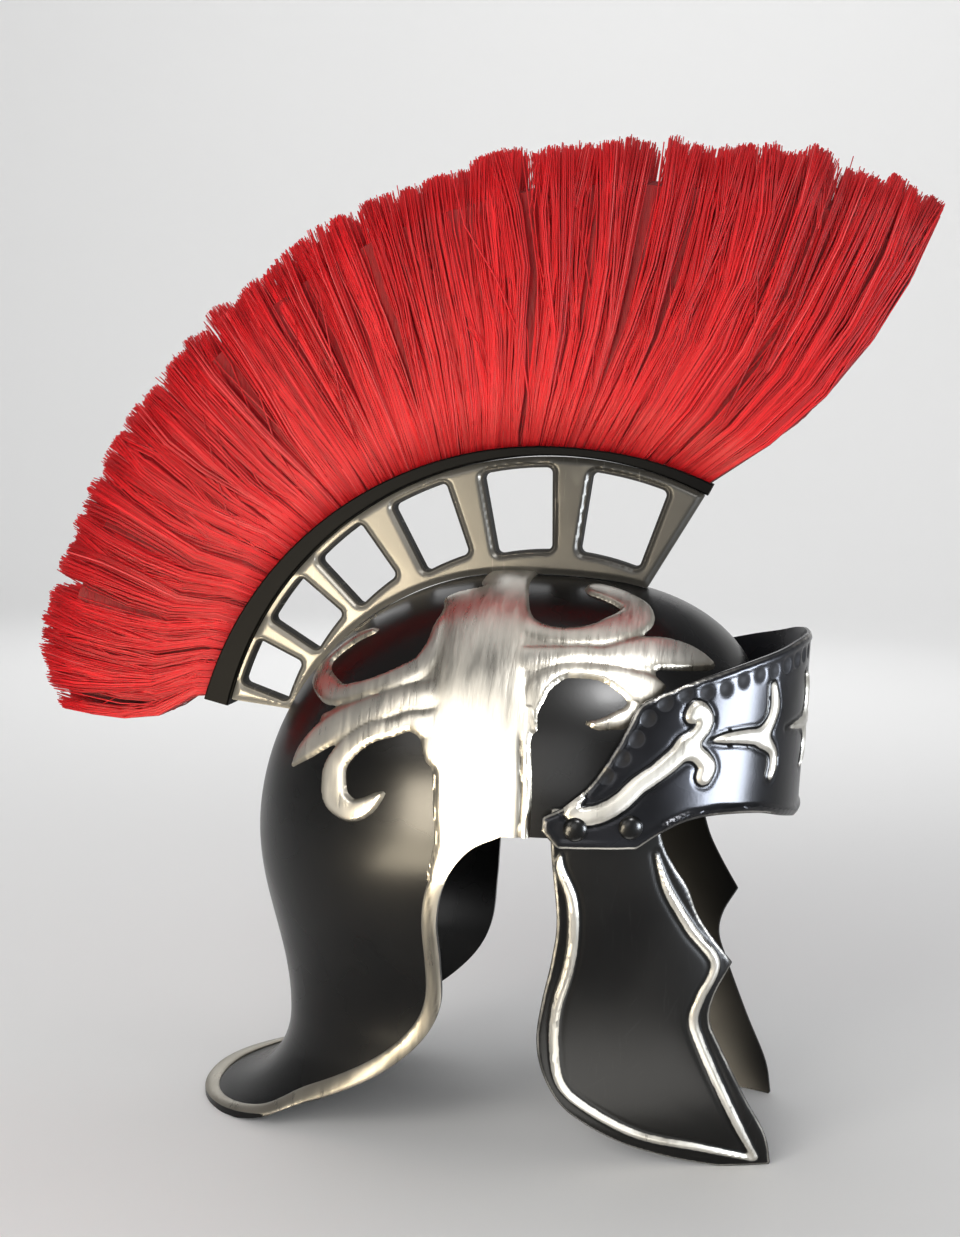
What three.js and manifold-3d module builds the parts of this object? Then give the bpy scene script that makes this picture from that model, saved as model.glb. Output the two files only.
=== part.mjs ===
// Roman legionary helmet with a brush crest: a moulded skull with a flared neck guard, a brow band
// riveted over two cheek guards, and an openwork crest holder that carries a fan of bristles.
// Millimetres, +X to the front, +Y to the wearer's left, +Z up, the floor at z = 0.

import * as THREE from "three";
import { mergeVertices } from "three/addons/utils/BufferGeometryUtils.js";
import Module from "manifold-3d";

const wasm = await Module();
wasm.setup();

// Driving dimensions.
const wall = 2;                // every moulded shell
const gap = 0.35;              // clearance between neighbouring pieces
const roundness = 2.2;         // exponent of the plan curves: 2 is an ellipse, more is squarer
const crownTop = 253;          // top of the dome
const springLine = 132;        // the dome is widest back to front from here down
const sideSpring = 150;        // and widest side to side from here down
const sideWaist = 50;          // its sides have drawn in fully by here
const waist = 42;              // the neck guard starts to flare here
const tailTop = 1.4;           // upper face of the neck guard's tail end
const tailReach = 42;          // how far the tail juts out behind the waist
const tailSpread = 33;         // how far it widens on each side of the waist
const neckMiddle = 12;         // x of the neck's middle at the waist
const waistBack = -76;         // x of the neck's back at the waist
const domeMiddle = 28;         // x of the dome's crown
const domeBack = 119;          // crown to back
const domeFront = 122;         // crown to front
const domeHalf = 95.6;         // half width above the ears
const neckHalf = 65;           // half width at the waist
const bandHalf = 101.4;        // half width of the brow band
const bandReach = 130;         // crown to the front of the brow band
const bandEnds = 1.42;         // angle from the front to the ends of the band's wall
const cheekSpan = 1.22;        // angle a cheek guard's wall spans
const hemHeight = 152;         // lower hem of the skull over the ears and temples
const crestCentre = { x: 43, z: 150 };
const crestRadius = 157;       // outer edge of the crest holder
const crestRear = 166.3;       // degrees, where the crest holder starts at the back
const crestEnd = 64.5;         // degrees, where it ends at the front
const holderHalf = 6;          // half thickness of the crest holder
const channelHalf = 8;         // half width of the channel
const channelBase = crestRadius + gap;
const channelFloor = 1.5;      // thickness of the channel under the brush
const channelWalls = { front: 5.5, crown: 4, rear: 12 };
const channelLow = 84;         // degrees, where the channel's walls are lowest
const plumeRootHalf = 5;       // half thickness of the brush where it leaves the channel
const plumeTipHalf = 22;       // half thickness of the brush near its tips
const plumeEnds = { rear: 173, front: 57 };      // degrees it splays to
const plumeCurl = { from: 0.6, by: 1.7 };        // its front tips curl back by these degrees
const plumeReach = { rear: 254, front: 306 };    // radius of its tips
const plumeCorner = { share: 0.06, cut: 16 };    // its rear top corner is cut off
const rivetHeadRadius = 5;
const rivetShankRadius = 2;
const rivetLength = 8.9;       // from the band's outer face to the rivet's inner head
const beyond = 120;            // past the widest piece, for cuts right through

const radians = THREE.MathUtils.degToRad;

// The part of a unit superellipse left over at distance v from its middle.
function rest(v, power) {
  return Math.max(0, 1 - v ** power) ** (1 / power);
}

// A smooth step from 0 to 1.
function ease(t) {
  return (1 - Math.cos(Math.PI * THREE.MathUtils.clamp(t, 0, 1))) / 2;
}

// --- Solids -------------------------------------------------------------------------------------

function solidOf(geometry) {
  geometry.deleteAttribute("normal");
  geometry.deleteAttribute("uv");
  const merged = mergeVertices(geometry, 1e-4);
  return new wasm.Manifold(new wasm.Mesh({
    numProp: 3,
    vertProperties: merged.attributes.position.array,
    triVerts: new Uint32Array(merged.index.array),
  }));
}

function geometryOf(solid) {
  const mesh = solid.getMesh();
  const geometry = new THREE.BufferGeometry();
  geometry.setAttribute("position", new THREE.BufferAttribute(mesh.vertProperties, 3));
  geometry.setIndex(new THREE.BufferAttribute(mesh.triVerts, 1));
  return geometry;
}

// A side-view shape, drawn in x and z, as a solid from y = right to y = left.
function prism(shape, right, left, curveSegments = 2) {
  const depth = left - right;
  const geometry = new THREE.ExtrudeGeometry(shape, { depth, bevelEnabled: false, curveSegments });
  geometry.rotateX(Math.PI / 2);
  geometry.translate(0, left, 0);
  return solidOf(geometry);
}

function splineShape(points) {
  const shape = new THREE.Shape();
  shape.moveTo(points[0][0], points[0][1]);
  shape.splineThru(points.slice(1).map(([x, z]) => new THREE.Vector2(x, z)));
  return shape;
}

// The unit normal of a surface that is given as a function of two parameters. Where a dome's rows
// close to a point it is straight up.
function normalOf(surface, u, v) {
  const step = 1e-3;
  const alongU = surface(u + step, v).sub(surface(u - step, v));
  const alongV = surface(u, v + step).sub(surface(u, v - step));
  const normal = alongU.cross(alongV);
  return normal.length() > 1e-12 ? normal.normalize() : new THREE.Vector3(0, 0, 1);
}

// A curved wall: the surface's points at every u and v, and the same points moved in by the
// thickness. A wall that wraps is a closed ring in u.
function curvedWall(surface, us, vs, thickness, wraps) {
  const outer = vs.map((v) => us.map((u) => surface(u, v)));
  const inner = vs.map((v, j) => us.map((u, i) => {
    return outer[j][i].clone().addScaledVector(normalOf(surface, u, v), -thickness);
  }));
  const corners = [];
  const triangle = (a, b, c) => {
    const area = b.clone().sub(a).cross(c.clone().sub(a)).length();
    if (area > 1e-6) corners.push(a, b, c);
  };
  const quad = (a, b, c, d) => {
    triangle(a, b, c);
    triangle(a, c, d);
  };
  const columns = wraps ? us.length : us.length - 1;
  const lastRow = vs.length - 1;
  for (let i = 0; i < columns; i += 1) {
    const k = (i + 1) % us.length;
    for (let j = 0; j < lastRow; j += 1) {
      quad(outer[j][i], outer[j][k], outer[j + 1][k], outer[j + 1][i]);
      quad(inner[j][i], inner[j + 1][i], inner[j + 1][k], inner[j][k]);
    }
    quad(outer[0][i], inner[0][i], inner[0][k], outer[0][k]);
    quad(outer[lastRow][i], outer[lastRow][k], inner[lastRow][k], inner[lastRow][i]);
  }
  if (!wraps) {
    const last = us.length - 1;
    for (let j = 0; j < lastRow; j += 1) {
      quad(outer[j][0], outer[j + 1][0], inner[j + 1][0], inner[j][0]);
      quad(outer[j][last], inner[j][last], inner[j + 1][last], outer[j + 1][last]);
    }
  }
  const geometry = new THREE.BufferGeometry().setFromPoints(corners);
  return solidOf(geometry);
}

function range(from, to, steps) {
  return Array.from({ length: steps + 1 }, (_, i) => from + (to - from) * i / steps);
}

// A point of a plan curve at an angle from the front, anticlockwise seen from above.
function planPoint(angle, section, z) {
  const across = Math.sin(angle);
  const along = Math.cos(angle);
  const reach = along > 0 ? section.front : section.back;
  const x = section.middle + reach * Math.sign(along) * Math.abs(along) ** (2 / roundness);
  const y = section.half * Math.sign(across) * Math.abs(across) ** (2 / roundness);
  return new THREE.Vector3(x, y, z);
}

// --- Skull --------------------------------------------------------------------------------------

// The skull's level section at height z. Above the spring line it closes over as a dome, below
// it draws in to the neck, and under the waist it flares out to the tail.
function skullSection(z) {
  const rise = Math.max(0, z - springLine) / (crownTop - springLine);
  const sideRise = Math.max(0, z - sideSpring) / (crownTop - sideSpring);
  const drawIn = ease((z - waist) / (springLine - waist));
  const widen = ease((z - sideWaist) / (sideSpring - sideWaist));
  const flare = 1 - rest(Math.min(1, Math.max(0, waist - z) / (waist - tailTop)), 2);
  const middle = THREE.MathUtils.lerp(neckMiddle, domeMiddle, drawIn);
  const springBack = domeMiddle - domeBack;
  const backLine = THREE.MathUtils.lerp(waistBack, springBack, drawIn) - tailReach * flare;
  const sides = THREE.MathUtils.lerp(neckHalf, domeHalf, widen) + tailSpread * flare;
  return {
    middle,
    back: z > springLine ? domeBack * rest(rise, 2) : middle - backLine,
    front: z > springLine ? domeFront * rest(rise, 3) : middle + domeFront - domeMiddle,
    half: z > sideSpring ? domeHalf * rest(sideRise, 2.3) : sides,
  };
}

function skullSurface(angle, z) {
  return planPoint(angle, skullSection(z), z);
}

function makeSkullWall() {
  const flareRows = range(90, 15, 5).map((a) => waist - (waist - tailTop) * Math.sin(radians(a)));
  const neckRows = range(waist, springLine, 6);
  const domeRows = range(7.5, 82.5, 10).map((a) => {
    return springLine + (crownTop - springLine) * Math.sin(radians(a));
  });
  const rows = [...flareRows, ...neckRows, ...domeRows, crownTop];
  const angles = range(0, 2 * Math.PI, 52).slice(0, -1);
  return curvedWall(skullSurface, angles, rows, wall, true);
}

// What is kept of the wall in side view: the neck guard's edge from the tail up to the ear, the
// hem over the ear and temple, and the brow, which the band hides.
function skullOutline() {
  const shape = new THREE.Shape();
  shape.moveTo(-200, 0);
  shape.lineTo(-92, 0);
  shape.splineThru([[-76, 4.5], [-62, 11], [-42, 20], [-18, 34], [0, 51], [8, 68], [9, 90],
    [9, 112], [14, 131], [24, 145], [37, hemHeight]].map(([x, z]) => new THREE.Vector2(x, z)));
  shape.lineTo(98, hemHeight);
  shape.lineTo(112, 166);
  shape.lineTo(170, 168);
  shape.lineTo(170, 300);
  shape.lineTo(-200, 300);
  return shape;
}

// The neck guard's tail is rounded in plan: this is what falls away round it, up to the waist.
function makeTailTrim() {
  const start = -50;
  const depth = 68;
  const half = 60;
  const round = range(-1, 1, 20).map((v) => {
    const y = half * Math.sin(v * Math.PI / 2);
    return new THREE.Vector2(start - depth * rest(Math.abs(y) / half, roundness), y);
  });
  const behind = -220;
  const outside = [[start, beyond], [behind, beyond], [behind, -beyond], [start, -beyond]];
  const shape = new THREE.Shape([...round, ...outside.map(([x, y]) => new THREE.Vector2(x, y))]);
  const below = 5;
  const geometry = new THREE.ExtrudeGeometry(shape, { depth: waist + below, bevelEnabled: false });
  geometry.translate(0, 0, -below);
  return solidOf(geometry);
}

// The dome's middle line in side view, lifted by a clearance, between two heights at the back
// and at the front.
function domeLine(fromZ, toZ, lift) {
  const level = (z, side) => {
    const section = skullSection(z);
    return [section.middle + side * (side < 0 ? section.back : section.front), z];
  };
  const angle = (z) => Math.asin((z - springLine) / (crownTop - springLine));
  const height = (a) => springLine + (crownTop - springLine) * Math.sin(a);
  const rear = range(angle(fromZ), Math.PI / 2, 14).map((a) => level(height(a), -1));
  const front = range(Math.PI / 2, angle(toZ), 8).slice(1).map((a) => level(height(a), 1));
  const middle = new THREE.Vector2(domeMiddle, springLine);
  return [...rear, ...front].map(([x, z]) => {
    const point = new THREE.Vector2(x, z);
    const out = point.clone().sub(middle).normalize();
    return point.addScaledVector(out, lift);
  });
}

// --- Brow band and cheek guards -----------------------------------------------------------------

// The band leans out a little at the top of its front and in at its sides.
function bandSurface(angle, z) {
  const section = {
    middle: domeMiddle,
    back: bandReach,
    front: bandReach + 0.03 * (z - 155),
    half: bandHalf - 0.2 * Math.max(0, z - 160),
  };
  return planPoint(angle, section, z);
}

// The temple plate, the rising upper edge and the lower edge that dips at the front.
function bandOutline() {
  const shape = new THREE.Shape();
  const through = (points) => shape.splineThru(points.map(([x, z]) => new THREE.Vector2(x, z)));
  shape.moveTo(54.5, 156);
  shape.lineTo(54.5, 162);
  through([[63, 166], [73, 175], [81, 187], [87, 199], [91, 207]]);
  through([[99, 211.5], [114, 217.5], [134, 224], [147, 228], [156, 231.5], [160.5, 233], [175, 234]]);
  shape.lineTo(175, 151);
  through([[157, 151.5], [152, 155.5], [141, 160], [125, 161.5], [113, 160], [103, 155.5], [93, 149]]);
  shape.lineTo(61, 149);
  return shape;
}

// A cheek guard hangs from under the temple plate, inside the band, and draws in to the chin.
function cheekSurface(angle, z) {
  const height = THREE.MathUtils.clamp(z / 155, 0, 1);
  const spread = Math.sin(Math.PI / 2 * height);
  const inset = wall + 2.5 * gap;
  const section = {
    middle: domeMiddle,
    back: bandReach,
    front: THREE.MathUtils.lerp(163, bandReach - inset, spread),
    half: THREE.MathUtils.lerp(60, bandHalf - inset, spread) - 0.2 * Math.max(0, z - 158),
  };
  return planPoint(angle, section, z);
}

function cheekOutline() {
  const shape = new THREE.Shape();
  const through = (points) => shape.splineThru(points.map(([x, z]) => new THREE.Vector2(x, z)));
  shape.moveTo(57.5, 165);
  shape.lineTo(58, 148);
  through([[61, 118], [59, 99], [55, 80], [52.5, 62], [54.5, 46], [61, 31], [71, 21], [88, 11],
    [110, 4], [130, 0]]);
  shape.lineTo(153, 0);
  through([[150, 15], [140, 35], [129, 59], [124.5, 71], [126, 82], [133, 96]]);
  through([[124.5, 108], [118, 119], [113.5, 131], [108, 140], [103, 150], [100, 165]]);
  return shape;
}

// --- Crest --------------------------------------------------------------------------------------

function crestPoint(degrees, radius) {
  const a = radians(degrees);
  return new THREE.Vector2(crestCentre.x + radius * Math.cos(a), crestCentre.z + radius * Math.sin(a));
}

function arc(from, to, radius, steps) {
  const radiusAt = typeof radius === "function" ? radius : () => radius;
  return range(from, to, steps).map((a) => crestPoint(a, radiusAt(a)));
}

function holderOutline() {
  const outer = arc(crestRear, crestEnd, crestRadius, 40);
  const base = domeLine(184, 248.5, gap);
  return new THREE.Shape([...outer, ...base.reverse()]);
}

// The holder's windows from back to front: the angles they lie between, the width of the rim over
// them and their inner radius.
const windows = [
  { from: 163, to: 154.2, rim: 2.5, inner: 130.5 },
  { from: 150.3, to: 140.6, rim: 3, inner: 127 },
  { from: 136.5, to: 126.2, rim: 3.5, inner: 123.5 },
  { from: 120, to: 109.4, rim: 4.5, inner: 118 },
  { from: 103, to: 90.5, rim: 5, inner: 114.5 },
  { from: 83.8, to: 70.2, rim: 5.5, inner: 114.5 },
];

function windowShape({ from, to, rim, inner }) {
  const outer = arc(from, to, crestRadius - rim, 4);
  const base = arc(to, from, inner, 2);
  return new THREE.Shape([...outer, ...base]);
}

// The channel is deepest at the back and lowest over the crown.
function channelHeight(degrees) {
  const { front, crown, rear } = channelWalls;
  const toRear = Math.max(0, degrees - channelLow) / (crestRear - channelLow);
  const toFront = Math.max(0, channelLow - degrees) / (channelLow - crestEnd);
  return crown + (rear - crown) * toRear ** 1.4 + (front - crown) * toFront;
}

function bandAlongCrest(from, to, innerRadius, outerRadius, steps) {
  return new THREE.Shape([...arc(from, to, outerRadius, steps), ...arc(to, from, innerRadius, steps)]);
}

function makeChannel() {
  const rim = (a) => channelBase + channelHeight(a);
  const block = bandAlongCrest(crestRear + 1, crestEnd - 0.4, channelBase, rim, 40);
  const grooveTop = (a) => rim(a) + 5;
  const groove = bandAlongCrest(crestRear, crestEnd + 0.4, channelBase + channelFloor, grooveTop, 40);
  const grooveHalf = plumeRootHalf + gap;
  return prism(block, -channelHalf, channelHalf).subtract(prism(groove, -grooveHalf, grooveHalf));
}

// The bristles stand straight up in the channel and splay a little past both of its ends. A
// point of the brush's middle plane lies a share t along the crest and a share s out to the tips.
// Up to the share rooted the brush is held by the channel, whose walls are deeper at the back.
function plumeRooted(t) {
  return THREE.MathUtils.lerp(0.15, 0.06, t);
}

function plumePoint(t, s) {
  const rooted = plumeRooted(t);
  const spread = 1 - (1 - Math.max(0, s - rooted) / (1 - rooted)) ** 4.5;
  const rootDegrees = THREE.MathUtils.lerp(crestRear - 0.5, crestEnd + 0.9, t);
  const tipDegrees = THREE.MathUtils.lerp(plumeEnds.rear, plumeEnds.front, t);
  const rootRadius = channelBase + channelFloor + gap;
  const corner = plumeCorner.cut * Math.max(0, 1 - t / plumeCorner.share);
  const tipRadius = THREE.MathUtils.lerp(plumeReach.rear, plumeReach.front, ease(t * 0.95)) - corner;
  const outer = Math.max(0, s - plumeCurl.from) / (1 - plumeCurl.from);
  const curl = plumeCurl.by * outer ** 2 * ease((t - 0.75) / 0.25);
  return crestPoint(
    THREE.MathUtils.lerp(rootDegrees, tipDegrees, spread) + curl,
    THREE.MathUtils.lerp(rootRadius, tipRadius, s),
  );
}

// One section across the brush, from the right root round the tips to the left root.
function plumeSection(t) {
  const rooted = plumeRooted(t);
  const fullness = 0.55 + 0.45 * rest(Math.abs(2 * t - 1), 3);
  const right = [0, rooted, 0.3, 0.55, 0.8, 0.93, 0.985].map((s) => {
    const spread = Math.max(0, s - rooted) / (1 - rooted);
    const swell = (plumeTipHalf * fullness - plumeRootHalf) * Math.sin(radians(100 * spread));
    const close = s > 0.8 ? rest((s - 0.8) / 0.2, 2) : 1;
    return { s, y: -(plumeRootHalf + swell) * close };
  });
  const left = right.map(({ s, y }) => ({ s, y: -y })).reverse();
  return [...right, { s: 1, y: 0 }, ...left].map(({ s, y }) => {
    const point = plumePoint(t, s);
    return new THREE.Vector3(point.x, y, point.y);
  });
}

function makePlume() {
  const sections = range(0, 1, 26).map(plumeSection);
  const corners = [];
  const quad = (a, b, c, d) => corners.push(a, b, c, a, c, d);
  const count = sections[0].length;
  for (let i = 0; i < sections.length - 1; i += 1) {
    const [here, next] = [sections[i], sections[i + 1]];
    for (let j = 0; j < count; j += 1) {
      const k = (j + 1) % count;
      quad(here[j], next[j], next[k], here[k]);
    }
  }
  const tip = (count - 1) / 2;
  for (let j = 0; j < tip; j += 1) {
    const [near, far] = [count - 1 - j, count - 2 - j];
    for (const [end, order] of [[sections[0], 1], [sections[sections.length - 1], -1]]) {
      const face = [end[j], end[j + 1], end[far], end[near]];
      quad(...(order > 0 ? face : face.reverse()));
    }
  }
  const geometry = new THREE.BufferGeometry().setFromPoints(corners);
  return solidOf(geometry);
}

// --- Rivets -------------------------------------------------------------------------------------

const rivets = [
  { name: "rear", x: 68, z: 157.5 },
  { name: "front", x: 90, z: 158.5 },
];

// Where a rivet sits on the right of the band, and the direction out of the band there.
function rivetSeat({ x, z }) {
  let low = Math.PI;
  let high = 2 * Math.PI;
  for (let i = 0; i < 40; i += 1) {
    const angle = (low + high) / 2;
    if (bandSurface(angle, z).x < x) low = angle;
    else high = angle;
  }
  return { point: bandSurface(low, z), normal: normalOf(bandSurface, low, z) };
}

// The rivet along its own axis: a domed head outside, the shank, and a flat head inside.
function rivetProfile(inside) {
  const headBase = gap;
  const headHeight = 3;
  const dome = range(0, 80, 5).map((a) => {
    const across = rivetHeadRadius * Math.cos(radians(a));
    return new THREE.Vector2(across, headBase + headHeight * Math.sin(radians(a)));
  });
  return [
    new THREE.Vector2(0, -inside - 1.6),
    new THREE.Vector2(3.8, -inside - 1.6),
    new THREE.Vector2(3.8, -inside),
    new THREE.Vector2(rivetShankRadius, -inside),
    new THREE.Vector2(rivetShankRadius, headBase),
    ...dome,
    new THREE.Vector2(0, headBase + headHeight),
  ];
}

// Turns a solid made along +Y onto a rivet's axis, on the right or mirrored to the left.
function onAxis(geometry, seat, side) {
  const turn = new THREE.Quaternion().setFromUnitVectors(new THREE.Vector3(0, 1, 0), seat.normal);
  const placed = geometry.applyQuaternion(turn);
  placed.translate(seat.point.x, seat.point.y, seat.point.z);
  const solid = solidOf(placed);
  return side < 0 ? solid : solid.mirror([0, 1, 0]);
}

function rivetHole(seat, side) {
  const radius = rivetShankRadius + gap;
  return onAxis(new THREE.CylinderGeometry(radius, radius, 40, 16), seat, side);
}

// --- Assembly -----------------------------------------------------------------------------------

const finishes = {
  black: new THREE.MeshStandardMaterial({ color: 0x0c0c0d, roughness: 0.32, metalness: 0 }),
  pewter: new THREE.MeshStandardMaterial({ color: 0x57534a, roughness: 0.38, metalness: 0.6 }),
  blackTrim: new THREE.MeshStandardMaterial({ color: 0x0b0b0b, roughness: 0.5, metalness: 0 }),
  bristle: new THREE.MeshStandardMaterial({ color: 0xc8141c, roughness: 0.6, metalness: 0 }),
};

const helmet = new THREE.Group();
helmet.name = "roman_legionary_helmet";

function addPiece(name, solid, material) {
  const mesh = new THREE.Mesh(geometryOf(solid), material);
  mesh.name = name;
  helmet.add(mesh);
}

const seats = rivets.map(rivetSeat);
const holes = [-1, 1].flatMap((side) => seats.map((seat) => rivetHole(seat, side)));

function drilled(solid) {
  return holes.reduce((left, hole) => left.subtract(hole), solid);
}

const skullBlank = makeSkullWall().intersect(prism(skullOutline(), -beyond, beyond));
const skull = skullBlank.subtract(makeTailTrim());
addPiece("skull", drilled(skull), finishes.black);

const bandAngles = range(-bandEnds, bandEnds, 38);
const bandRows = [146, 160, 185, 210, 230, 245];
const bandWall = curvedWall(bandSurface, bandAngles, bandRows, wall, false);
const band = bandWall.intersect(prism(bandOutline(), -beyond, beyond));
addPiece("brow_band", drilled(band), finishes.black);

for (const [side, hand] of [[-1, "right"], [1, "left"]]) {
  const near = side < 0 ? -bandEnds : bandEnds - cheekSpan;
  const cheekAngles = range(near, near + cheekSpan, 16);
  const cheekRows = [-8, ...range(0, 155, 14), 170];
  const cheekWall = curvedWall(cheekSurface, cheekAngles, cheekRows, wall, false);
  const cheek = cheekWall.intersect(prism(cheekOutline(), -beyond, beyond));
  addPiece(`cheek_guard_${hand}`, drilled(cheek), finishes.black);
}

const holderBlock = prism(holderOutline(), -holderHalf, holderHalf);
const holder = windows.reduce((left, opening) => {
  return left.subtract(prism(windowShape(opening), -beyond, beyond));
}, holderBlock);
addPiece("crest_holder", holder, finishes.pewter);
addPiece("crest_channel", makeChannel(), finishes.blackTrim);
addPiece("plume", makePlume(), finishes.bristle);

for (const [side, hand] of [[-1, "right"], [1, "left"]]) {
  rivets.forEach((rivet, i) => {
    const shape = new THREE.LatheGeometry(rivetProfile(rivetLength), 16);
    addPiece(`rivet_${hand}_${rivet.name}`, onAxis(shape, seats[i], side), finishes.black);
  });
}

export default helmet;
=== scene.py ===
import math

import bmesh
import bpy
import numpy as np
from mathutils import Matrix, Vector
from mathutils.bvhtree import BVHTree


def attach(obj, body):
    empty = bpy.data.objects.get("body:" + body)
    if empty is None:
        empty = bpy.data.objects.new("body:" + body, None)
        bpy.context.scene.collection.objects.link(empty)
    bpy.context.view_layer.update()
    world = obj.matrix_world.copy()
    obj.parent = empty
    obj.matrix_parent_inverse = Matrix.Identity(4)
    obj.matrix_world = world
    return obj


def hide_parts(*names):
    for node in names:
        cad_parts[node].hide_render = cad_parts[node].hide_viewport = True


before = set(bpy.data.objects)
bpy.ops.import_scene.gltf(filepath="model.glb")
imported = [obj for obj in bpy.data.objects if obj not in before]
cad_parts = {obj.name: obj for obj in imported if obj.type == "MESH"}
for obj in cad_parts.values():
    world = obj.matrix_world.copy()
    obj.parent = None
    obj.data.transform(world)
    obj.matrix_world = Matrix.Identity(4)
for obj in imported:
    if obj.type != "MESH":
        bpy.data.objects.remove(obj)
for leftover in ("Cube", "Light", "Camera"):
    if leftover in bpy.data.objects:
        bpy.data.objects.remove(bpy.data.objects[leftover])
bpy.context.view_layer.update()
bpy.context.scene.view_settings.view_transform = "Standard"

mm = 0.001  # shapes are worked out in millimetres and stored in metres
wall = 2.0  # every moulded shell
roundness = 2.2  # exponent of the plan curves: 2 is an ellipse, more is squarer


# Curves and numbers

def rest(v, power):
    # what is left of a unit superellipse at a distance v from its middle
    return np.clip(1 - np.clip(v, 0, 1) ** power, 0, 1) ** (1 / power)


def ease(t):
    return (1 - np.cos(np.pi * np.clip(t, 0, 1))) / 2


def mix(a, b, t):
    return a + (b - a) * t


def smoothPath(points, steps=8):
    # a Catmull-Rom curve through the points, in any number of columns
    p = np.array(points, float)
    p = np.vstack([2 * p[0] - p[1], p, 2 * p[-1] - p[-2]])
    t = np.linspace(0, 1, steps, endpoint=False)[:, None]
    out = []
    for a, b, c, d in zip(p[:-3], p[1:-2], p[2:-1], p[3:]):
        out.append(0.5 * (2 * b + (c - a) * t + (2 * a - 5 * b + 4 * c - d) * t ** 2
                          + (3 * b - a - 3 * c + d) * t ** 3))
    return np.vstack([*out, p[-2:-1]])


def evenPath(points, spacing):
    # the same curve with its points a fixed distance apart
    p = np.array(points, float)
    run = runOf(p)
    at = np.linspace(0, run[-1], max(2, int(round(run[-1] / spacing)) + 1))
    return np.stack([np.interp(at, run, p[:, k]) for k in range(p.shape[1])], axis=1)


def runOf(p):
    # the length along a line up to each of its points
    return np.concatenate([[0], np.cumsum(np.linalg.norm(np.diff(p, axis=0), axis=1))])


def planPoint(angle, middle, back, front, half, z):
    # a point of a level section, which is a superellipse with its own reach to the back and front
    along, across = np.cos(angle), np.sin(angle)
    reach = np.where(along > 0, front, back)
    x = middle + reach * np.sign(along) * np.abs(along) ** (2 / roundness)
    y = half * np.sign(across) * np.abs(across) ** (2 / roundness)
    return np.stack([x, y, z + 0 * x], axis=-1)


def planHalf(x, middle, back, front, half):
    reach = np.maximum(np.where(x < middle, back, front), 1e-6)
    return half * rest(np.abs(x - middle) / reach, roundness)


def smoothMax(a, b, reach):
    near = np.maximum(reach - np.abs(a - b), 0) / reach
    return np.maximum(a, b) + near ** 2 * reach / 4


def dome(share):
    # a rounded rise from 0 at the edge to 1
    return np.sqrt(1 - (1 - np.clip(share, 0, 1)) ** 2)


def ridge(distance, at, width):
    # a soft line that is 1 high where the distance has the value at
    return np.exp(-((distance - at) / width) ** 2)


def unit(v):
    return v / np.maximum(np.linalg.norm(v, axis=-1, keepdims=True), 1e-12)


def normalsOf(surface, p, q, centre, step=0.05):
    alongP = surface(p + step, q) - surface(p - step, q)
    alongQ = surface(p, q + step) - surface(p, q - step)
    n = unit(np.cross(alongP, alongQ))
    outward = np.sign((n * (surface(p, q) - centre)).sum(axis=1, keepdims=True))
    return n * outward


def outlineDistance(polygon, p, q):
    # how far inside a closed outline each point lies, negative outside it
    corners = np.array(polygon, float)
    inside = np.zeros(p.shape, bool)
    nearest = np.full(p.shape, 1e9)
    for (ax, ay), (bx, by) in zip(corners, np.roll(corners, -1, axis=0)):
        dx, dy = bx - ax, by - ay
        t = np.clip(((p - ax) * dx + (q - ay) * dy) / max(dx * dx + dy * dy, 1e-9), 0, 1)
        nearest = np.minimum(nearest, np.hypot(p - ax - t * dx, q - ay - t * dy))
        crosses = (ay > q) != (by > q)
        if dy:
            inside ^= crosses & (p < ax + (q - ay) * dx / dy)
    return np.where(inside, nearest, -nearest)


# Meshes

def newPiece(name, bm):
    mesh = bpy.data.meshes.new(name)
    bm.to_mesh(mesh)
    bm.free()
    piece = bpy.data.objects.new(name, mesh)
    bpy.context.scene.collection.objects.link(piece)
    return piece


def smoothShade(piece, angle):
    piece.data.shade_smooth()
    piece.data.set_sharp_from_angle(angle=math.radians(angle))


def shapedGrid(columns, rows, place):
    # a grid whose two directions run from 0 to 1, moved to where place puts them
    bm = bmesh.new()
    bmesh.ops.create_grid(bm, x_segments=columns, y_segments=rows, size=0.5)
    share = np.array([v.co[:2] for v in bm.verts]) + 0.5
    for v, at in zip(bm.verts, place(share[:, 0], share[:, 1]) * mm):
        v.co = at
    return bm


def weld(bm, distance=1e-6):
    bmesh.ops.remove_doubles(bm, verts=bm.verts[:], dist=distance)
    bmesh.ops.dissolve_degenerate(bm, edges=bm.edges[:], dist=1e-7)


def closeHoles(bm):
    rims = [e for e in bm.edges if e.is_boundary]
    if rims:
        bmesh.ops.holes_fill(bm, edges=rims, sides=0)
    bmesh.ops.recalc_face_normals(bm, faces=bm.faces[:])


def applyModifiers(piece):
    bpy.context.view_layer.update()
    done = piece.evaluated_get(bpy.context.evaluated_depsgraph_get())
    mesh = bpy.data.meshes.new_from_object(done)
    piece.modifiers.clear()
    old = piece.data
    piece.data = mesh
    bpy.data.meshes.remove(old)
    mesh.name = piece.name


def combine(piece, other, operation):
    modifier = piece.modifiers.new("join", "BOOLEAN")
    modifier.object = other
    modifier.operation = operation
    modifier.solver = "MANIFOLD"
    modifier.material_mode = "TRANSFER"
    applyModifiers(piece)
    bpy.data.objects.remove(other)


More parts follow.
